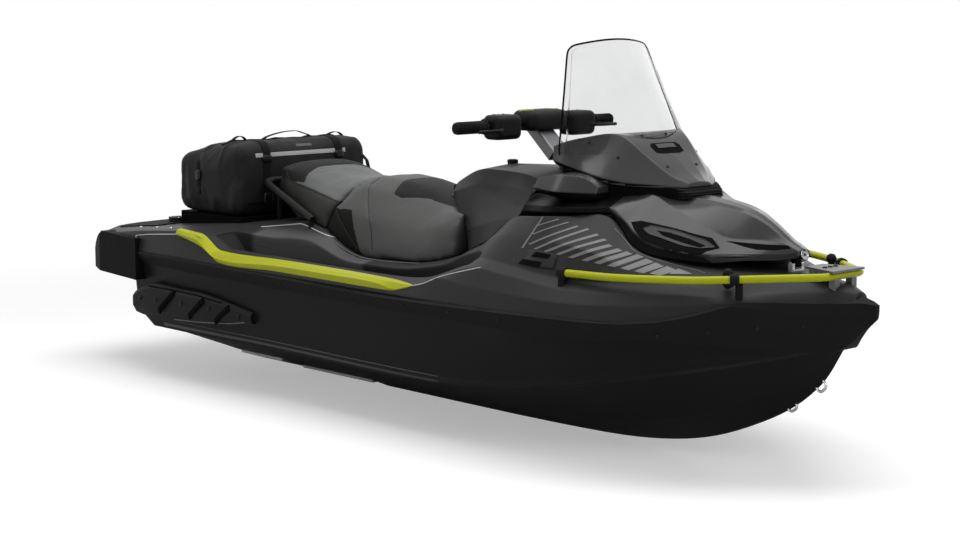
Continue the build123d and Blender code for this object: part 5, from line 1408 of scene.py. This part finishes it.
nose = probe(hood_nodes, at(3700, 0, 734), Vector((-1, 0, 0)))
nose_at, nose_out = at(3440, 0, 734), Vector((1, 0, 0))
if nose:
    nose_at, nose_out = nose[0], Vector((0.96, 0, 0.28)).normalized()
DISH_PROFILE = [(20, -2), (20, 2.5), (18, 4), (15.5, 4), (14.5, 2.5), (6, 2.5), (5, 4), (0.5, 4.4)]
RIM_PROFILE = [(19.2, 3.2), (18.2, 4.4), (15.8, 4.4), (15.2, 3.4)]
turned("nose_badge", nose_at, nose_out, DISH_PROFILE, smooth_black, "hood_group")
turned("nose_badge_ring", nose_at, nose_out, RIM_PROFILE, silver_line, "hood_group")
spokes = []
aside, upright = nose_out.orthogonal().normalized(), nose_out.cross(nose_out.orthogonal()).normalized()
for k in range(8):
    way = aside * math.cos(math.tau * k / 8) + upright * math.sin(math.tau * k / 8)
    spokes.append([nose_at + way * 0.006 + nose_out * 0.0030, nose_at + way * 0.0145 + nose_out * 0.0030])
cordage("nose_badge_spokes", spokes, 0.0009, silver_line, "hood_group", flat=True)
print("badge at", [round(c, 3) for c in nose_at])

# %% [markdown]
# ## Fasteners
#
# Panels are held by screws with a socket in the head. One mesh can hold any number of them, so a
# helper takes all the places of one group, and draws each head from a small turned profile.

# %% Tool: screws
def screws(name, spots, radius, material, body="craft"):
    """Screw heads, each at a point with the way it faces. The radius is in millimetres."""
    points, faces, count = [], [], 12
    profile = [(1.0, -0.3), (1.0, 0.35), (0.8, 0.6), (0.48, 0.62), (0.42, 0.15), (0.05, 0.1)]
    for spot, out in spots:
        aside = out.orthogonal().normalized()
        other = out.cross(aside).normalized()
        start = len(points)
        for share, high in profile:
            for k in range(count):
                angle = math.tau * k / count
                way = aside * math.cos(angle) + other * math.sin(angle)
                points.append(spot + (way * share + out * high) * radius / 1000)
        faces += ring_faces(start, len(profile), count)
        faces.append(tuple(range(start + (len(profile) - 1) * count, start + len(profile) * count)))
    return piece(name, points, faces, material, body)


def side_spots(names, places):
    found = [probe(names, at(x, s * SIDE_START, z), Vector((0, -s, 0))) for x, z in places for s in (-1, 1)]
    return [(f[0], f[1]) for f in found if f is not None]


def roof_spots(names, places):
    found = [probe(names, at(x, s * y, SCREW_START), DOWN) for x, y in places for s in (-1, 1)]
    return [(f[0], f[1]) for f in found if f is not None]


screws("bumper_screws", side_spots(("bow_bumper",), [(3205, 490), (3330, 505), (3450, 520), (3560, 530)]),
       7, smooth_black)
screws("rub_rail_screws", side_spots(("rub_rails",), [(520 + 235 * k, 492) for k in range(11)]), 5,
       smooth_black)
screws("cowl_screws", roof_spots(("cowl",), [(2801, 201), (2781, 62), (2913, 74), (2700, 235)]), 5.5,
       smooth_black, "hood_group")
screws("deck_screws", roof_spots(("deck",), [(180, 440), (330, 480), (480, 500), (640, 540)]), 6, steel)
screws("sponson_screws", side_spots(("sponsons",),
                                    [(619, 334), (802, 342), (987, 341), (1167, 327), (500, 330)]), 9,
       smooth_black)
screws("console_screws", side_spots(("console",), [(2110, 720), (2250, 690), (2380, 740)]), 5, smooth_black)
screws("anchor_screws", roof_spots(("cargo_anchors",),
                                   [(345 + 31 * math.cos(a), 300 + 31 * math.sin(a))
                                    for a in (0.6, 2.17, 3.74, 5.31)]), 3.2, steel)
print("screws set")

# %% [markdown]
# ## Sponsons
#
# A sponson is the fin bolted low on each side near the stern. Three ribs slant across its face to
# stiffen it. Each rib is a bar with a chamfered crest, laid on the face between two points.

# %% Sponson ribs
def rib(points, faces, low, high, out, half, rise):
    run = (high - low).normalized()
    wide = run.cross(out).normalized()
    start = len(points)
    for end, drop in ((low, 0.4), (low + (high - low) * 0.12, 1.0), (high - (high - low) * 0.12, 1.0),
                      (high, 0.4)):
        for across, up in ((-1.0, -0.1), (-0.75, 0.8), (-0.35, 1.0), (0.35, 1.0), (0.75, 0.8), (1.0, -0.1)):
            points.append(end + wide * half * across + out * rise * up * drop)
    for k in range(3):
        for c in range(5):
            a = start + k * 6 + c
            faces.append((a, a + 1, a + 7, a + 6))
    faces.append(tuple(start + c for c in range(5, -1, -1)))
    faces.append(tuple(start + 18 + c for c in range(6)))


rib_points, rib_faces = [], []
RIB_LINES = (((642, 290), (757, 381)), ((848, 289), (958, 371)), ((1014, 288), (1114, 358)))
for side in (-1, 1):
    for (x0, z0), (x1, z1) in RIB_LINES:
        low, high = from_side(("sponsons",), x0, z0, side), from_side(("sponsons",), x1, z1, side)
        if low is not None and high is not None:
            rib(rib_points, rib_faces, low, high, Vector((0, side, 0.0)), 0.013, 0.013)
piece("sponson_ribs", rib_points, rib_faces, deep_black, smooth=False)
bead("sponson_bead", [[(733, 266), (853, 272), (967, 280), (1101, 292), (1200, 308)]], ("sponsons",),
     0.0022, edge_grey)
# Painted shadow: a deep black cord along the sponson's upper edge, where it meets the hull.
bead("sponson_top_bead", [[(560, 384), (700, 386), (900, 384), (1060, 370)]], ("sponsons",), 0.0030,
     deep_black)
print("ribs on both sponsons")

# %% [markdown]
# ## Cowl and screen
#
# The cowl carries the screen. On its top is a recessed slot for the screen's latch, and between it
# and the hood an open mouth is covered with mesh.

# %% Cowl details
def top_patch(name, outline, names, material, lift=0.8, body="craft", step=12):
    """A film laid from above that crosses the centreline."""
    return film(name, [outline], names, material, lift=lift, above=True, sides=(-1,), body=body, step=step)


recess = [(2822, -62), (2834, -74), (2858, -70), (2864, -40), (2866, 40), (2858, 70), (2834, 74),
          (2822, 62)]
top_patch("cowl_recess", recess, ("cowl",), deep_black, 0.6, "hood_group")
top_patch("cowl_latch", [(2828, -46), (2844, -46), (2844, 46), (2828, 46)], ("cowl",), cowl_gloss, 3.0,
          "hood_group")
MESH_START, MESH_LIFT = 3200, Vector((0.0015, 0, 0))
threads = [[(y, 884 + 9 * k) for y in range(-110, 111, 10)] for k in range(5)]
threads += [[(y, z) for z in range(882, 922, 6)] for y in range(-100, 101, 14)]
mouth = []
for thread in threads:
    found = [probe(("cowl_base",), at(MESH_START, y, z), Vector((-1, 0, 0))) for y, z in thread]
    laid = [f[0] + MESH_LIFT for f in found if f is not None]
    if len(laid) > 3:
        mouth.append(laid)
cordage("cowl_mouth_mesh", mouth, 0.0014, black_plastic, "hood_group", flat=True)
cowl_skirt = [(2592, 984), (2660, 972), (2760, 948), (2860, 929), (2960, 924), (2990, 924), (2960, 932),
              (2860, 941), (2760, 962), (2660, 988), (2592, 1002)]
film("cowl_skirt", [cowl_skirt], ("cowl",), cavity_black, lift=1.2, step=8, body="hood_group")
print("cowl dressed, with", len(mouth), "mesh threads")

# %% [markdown]
# The screen's outer edge has a thin rubber seal. The CAD trim is a flat strip along that edge, so a
# fan of points outside the strip finds the nearest place on it, one after the other. The found line
# is a little uneven, and a moving average over its neighbours, done a few times, makes it run true.

# %% Screen seal
SEAL_POINTS, SEAL_TURNS, SEAL_RADIUS = 60, 4, 0.0034
strip = BVHTree.FromObject(bpy.data.objects["windshield_trim"], as_loaded)
strip_low, strip_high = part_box("windshield_trim")
hub = Vector((0, 0, strip_low.z + 0.42 * (strip_high.z - strip_low.z)))
start = math.atan2(strip_low.z + 0.02 - hub.z, strip_high.y)
edge = []
for k in range(SEAL_POINTS + 1):
    angle = start + (math.pi - 2 * start) * k / SEAL_POINTS
    away = hub + Vector((0, math.cos(angle), math.sin(angle))) * 0.9
    height = min(1.0, max(0.0, (away.z - strip_low.z) / (strip_high.z - strip_low.z)))
    away.x = strip_high.x + (strip_low.x - strip_high.x) * height
    edge.append(strip.find_nearest(away)[0])
for _ in range(SEAL_TURNS):
    inner = [(a + b * 2 + c) / 4 for a, b, c in zip(edge, edge[1:], edge[2:])]
    edge = [edge[0], *inner, edge[-1]]
cordage("screen_edge_seal", [edge], SEAL_RADIUS, deep_black, "hood_group")
print("seal laid")

# %% [markdown]
# ## Controls
#
# The handlebar's middle is covered by a padded dome with two lime accents. It is a soft moulded pad,
# so it gets the same treatment as the seats, with its own small seam.

# %% Handlebar pad
PAD_VOXEL, PAD_PRESSURE, PAD_CAP, PAD_TOUCH = 0.0045, 2.0, 0.003, 0.012
pad = even_skin("handlebar_pad", bpy.data.objects["bar_pad"], PAD_VOXEL, 3)
pad_low, pad_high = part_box("bar_pad")
pad_middle = (pad_low + pad_high) / 2
seam_long, seam_wide = 0.30 * (pad_high.x - pad_low.x), 0.38 * (pad_high.y - pad_low.y)
oval = [pad_middle + Vector((seam_long * math.cos(a), seam_wide * math.sin(a), 0.04))
        for a in [math.tau * k / 32 for k in range(33)]]
pad_seam = laid_on(pad, oval)
bar_tree = BVHTree.FromObject(bpy.data.objects["handlebar"], as_loaded)
away = seam_finder([pad_seam])
held = {v.index: 1.0 for v in pad.data.vertices if away(v.co) < 0.005
        or near_support(v.co, (bar_tree,), PAD_TOUCH)}
swell(pad, held, PAD_PRESSURE, PAD_CAP, frames=10)
groove(pad, [pad_seam], 0.006, 0.0016)
refine(pad)
settle(pad, black_plastic, "steering")
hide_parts("bar_pad")
pad_tree = BVHTree.FromObject(pad, bpy.context.evaluated_depsgraph_get())
accents = []
for side in (-1, 1):
    line = []
    for k in range(9):
        x, y = pad_middle.x + 0.030 - 0.006 * k, pad_middle.y + side * (0.062 + 0.003 * k)
        spot, _, _, _ = pad_tree.ray_cast(Vector((x, y, pad_high.z + 0.2)), DOWN)
        line.append(spot + Vector((0, 0, 0.0006)))
    accents.append(line)
cordage("handlebar_pad_accents", accents, 0.0026, lime_paint, "steering")
cordage("handlebar_pad_stitching", [laid_on(pad, pad_seam, 0.0003)], 0.0009, smooth_black, "steering")
print("pad faces", len(pad.data.polygons))

# %% [markdown]
# A switch pod and a rubber grip are fuller in the hand than their CAD solids. Both take a remeshed
# skin of the solid, and each side's half is stretched about its own middle. The new shell stands for
# the CAD node, and it turns with the handlebar.

# %% Fuller pods and grips
def fuller(name, node, voxel, stretch, material):
    """A smoother, fuller shell over a CAD node with one part on each side."""
    shell = even_skin(name, bpy.data.objects[node], voxel, 2)
    for side in (-1, 1):
        half = [v for v in shell.data.vertices if v.co.y * side > 0]
        middle = sum((v.co for v in half), Vector()) / len(half)
        for v in half:
            v.co = middle + Vector([c * s for c, s in zip(v.co - middle, stretch)])
    shell.data.shade_smooth()
    settle(shell, material, "steering")
    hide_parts(node)
    return shell


pod_shell = fuller("control_pod_shell", "control_pods", 0.004, (1.16, 1.08, 1.24), black_plastic)
print("pod shell faces", len(pod_shell.data.polygons))

grip_shell = fuller("grip_shell", "grips", 0.004, (1.22, 1.0, 1.28), black_rubber)
print("grip shell faces", len(grip_shell.data.polygons))

# %% [markdown]
# A grip has rings of rubber that the fingers hold. The grips lie askew, so four rays, from above,
# below, ahead and behind, find the middle of the CAD grip at each step along it.

# %% Grip rings
RING_COUNT, RING_GAP, RING_RADIUS, END_GAP = 15, 0.0072, 0.0214, 0.014
grip_low, grip_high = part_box("grips")
grip_x, grip_z = (grip_low.x + grip_high.x) / 2, (grip_low.z + grip_high.z) / 2
rings = []
for side in (-1, 1):
    for k in range(RING_COUNT):
        y = side * (grip_high.y - END_GAP - RING_GAP * k)
        looks = ((Vector((grip_x, y, grip_high.z + 0.2)), DOWN),
                 (Vector((grip_x, y, grip_low.z - 0.2)), UP),
                 (Vector((grip_high.x + 0.2, y, grip_z)), Vector((-1, 0, 0))),
                 (Vector((grip_low.x - 0.2, y, grip_z)), Vector((1, 0, 0))))
        hits = [probe(("grips",), begin, way) for begin, way in looks]
        if None in hits:
            continue
        above, below, ahead, behind = (hit[0] for hit in hits)
        centre = Vector(((ahead.x + behind.x) / 2, y, (above.z + below.z) / 2))
        rings.append([centre + Vector((math.cos(a) * RING_RADIUS, 0, math.sin(a) * RING_RADIUS))
                      for a in [math.tau * j / 20 for j in range(21)]])
cordage("grip_rings", rings, 0.0016, black_rubber, "steering", flat=True)
print(len(rings), "grip rings")

# %% [markdown]
# Each pod carries four buttons, set on the shell where a ray from above meets it.

# %% Buttons on the pods
# Each button's place from the pod's middle, its width and its finish.
BUTTONS = ((-0.012, -0.030, 0.015, edge_grey), (-0.012, -0.008, 0.012, lime_paint),
           (-0.012, 0.014, 0.012, edge_grey), (0.010, -0.020, 0.010, edge_grey))
POD_Y = 0.192
buttons = 0
pod_low, pod_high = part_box("control_pods")
pod_x = (pod_low.x + pod_high.x) / 2
pod_tree = BVHTree.FromObject(pod_shell, bpy.context.evaluated_depsgraph_get())
for side in (-1, 1):
    for k, (dx, dy, size, tone) in enumerate(BUTTONS):
        spot = pod_tree.ray_cast(Vector((pod_x + dx, side * POD_Y + dy, pod_high.z + 0.2)), DOWN)[0]
        if spot is not None:
            plate(f"button_{'p' if side > 0 else 's'}_{k}", spot - Vector((0, 0, 0.001)), Vector((0, 1, 0)),
                  Vector((-1, 0, 0)), (size, size * 0.7), 0.0035, tone, "steering", round_off=0.5)
            buttons += 1
print(buttons, "buttons")

# %% [markdown]
# The display is dark glass in a bezel. Its dial has plain ticks, two sets of bars beside it, and no
# wording. Everything is drawn in the plane of the glass, which a ray finds.

# %% Display
display_low, display_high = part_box("display")
face_up = Vector((-(display_high.z - display_low.z), 0, (display_high.x - display_low.x))).normalized()
display_mid = (display_low + display_high) / 2
surface_hit = probe(("display",), display_mid + face_up * 0.2, -face_up)
dial_mid = surface_hit[0] + surface_hit[1] * 0.0006
dial_out = surface_hit[1].normalized()
across = Vector((0, 1, 0))
along_slope = across.cross(dial_out).normalized()
faint_light = finish("display_ticks", (0.45, 0.47, 0.50), 0.4, dust=0.0, depth=0.00002)
TICKS, SWEEP, FIRST = 24, 240, 210
ticks = []
for k in range(TICKS + 1):
    angle = math.radians(FIRST - SWEEP * k / TICKS)
    way = across * -math.cos(angle) + along_slope * math.sin(angle) * (1 if along_slope.z > 0 else -1)
    inner = 0.019 if k % 4 == 0 else 0.022
    ticks.append([dial_mid + way * inner, dial_mid + way * 0.0255])
cordage("display_dial", ticks, 0.0005, faint_light, flat=True)
bars = []
for k in range(6):
    for side in (-1, 1):
        foot = dial_mid + across * side * (0.046 + 0.006 * k) - along_slope * 0.014
        bars.append([foot, foot + along_slope * (0.008 + 0.003 * k)])
cordage("display_bars", bars, 0.0011, faint_light, flat=True)
half_w, half_h = (display_high.y - display_low.y) / 2 - 0.003, 0.031
SQUARENESS = 8
rim = []
for k in range(65):
    angle = math.tau * k / 64
    c, s = math.cos(angle), math.sin(angle)
    stretch = (abs(c) ** SQUARENESS + abs(s) ** SQUARENESS) ** (-1 / SQUARENESS)
    rim.append(dial_mid + across * c * stretch * half_w + along_slope * s * stretch * half_h)
cordage("display_bezel", [rim], 0.0024, smooth_black)
print("display", len(ticks), "ticks")

# %% [markdown]
# Small turned parts finish the fittings: a ring round each cargo anchor's socket, the glove box lid's
# fluted knob, three bolts on the rail plate, and a rubber clamp pair on each side of the bow rail.

# %% Anchors, knob, bolts and clamps
ANCHOR_PROFILE = [(24, 0.0), (24, 2.4), (22, 3.4), (15, 3.4), (13, 2.0), (13, -10)]
BOLT_PROFILE = [(8, -1), (8, 3), (6, 4.4), (3.5, 4.4), (3, 2.5)]
CLAMP_PROFILE = [(3, -17), (11, -14), (16.5, -7), (18, 0), (16.5, 7), (11, 14), (3, 17)]
for side in (-1, 1):
    turned(f"anchor_ring_{'port' if side > 0 else 'starboard'}", at(345, side * 300, 628), UP,
           ANCHOR_PROFILE, smooth_black)
knob = probe(("glove_box_lid",), at(2082, 0, NOSE_START), DOWN)
KNOB_RADIUS = 0.0188
flutes = [[knob[0] + Vector((math.cos(a) * KNOB_RADIUS, math.sin(a) * KNOB_RADIUS, z))
           for z in (-0.012, -0.002)] for a in [math.tau * k / 18 for k in range(18)]]
cordage("lid_knob_flutes", flutes, 0.0016, black_plastic, "lid", flat=True)
plate("lid_knob_cap", knob[0], Vector((1, 0, 0)), Vector((0, 1, 0)), (0.030, 0.030), 0.0022, smooth_black,
      "lid", round_off=1.0)
for y in (-28, 0, 28):
    found = probe(("rail_plate",), at(3545, y, NOSE_START), DOWN)
    if found:
        turned(f"rail_plate_bolt_{y + 28}", found[0], found[1], BOLT_PROFILE, smooth_black)
for side in (-1, 1):
    rail_hit = probe(("bow_rail",), at(3347, side * SIDE_START, 690), Vector((0, -side, 0)))
    rail_at = rail_hit[0] if rail_hit else at(3347, side * 280, 690)
    for k, drop in enumerate((0.0, 30.0)):
        centre = rail_at - Vector((0, side * 0.0105, drop / 1000 + 0.002))
        turned(f"rail_clamp_{'p' if side > 0 else 's'}_{k}", centre, Vector((0, side, 0)), CLAMP_PROFILE,
               black_rubber)
print("small fittings set")

# %% [markdown]
# Boarding step treads and pump bolts are seen from astern. They come from the same two tools,
# cordage and screws, and follow the boxes of their CAD nodes.

# %% Stern fittings
step_low, step_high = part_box("boarding_ladder")
treads = []
for k in range(5):
    x = step_low.x + 0.018 + 0.008 * k
    places = [Vector((x, step_low.y + (step_high.y - step_low.y) * j / 12, step_high.z + 0.2))
              for j in range(2, 11)]
    found = [probe(("boarding_ladder",), place, DOWN) for place in places]
    row = [f[0] + Vector((0, 0, 0.0008)) for f in found if f is not None]
    if len(row) > 3:
        treads.append(row)
if treads:
    cordage("ladder_tread_lines", treads, 0.0014, black_rubber, "ladder", flat=True)
pump_stern_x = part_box("pump_housing")[0].x
pump_axis = at(0, 0, 165)
ring_bolts = []
for k in range(6):
    angle = math.tau * (k + 0.5) / 6
    way = Vector((0, math.cos(angle), math.sin(angle)))
    found = probe(("pump_housing",), Vector((pump_stern_x + 0.06, 0, pump_axis.z)) + way * 0.3, -way)
    if found:
        ring_bolts.append((found[0], way))
if ring_bolts:
    screws("pump_bolts", ring_bolts, 6, steel)
print(len(ring_bolts), "pump bolts")
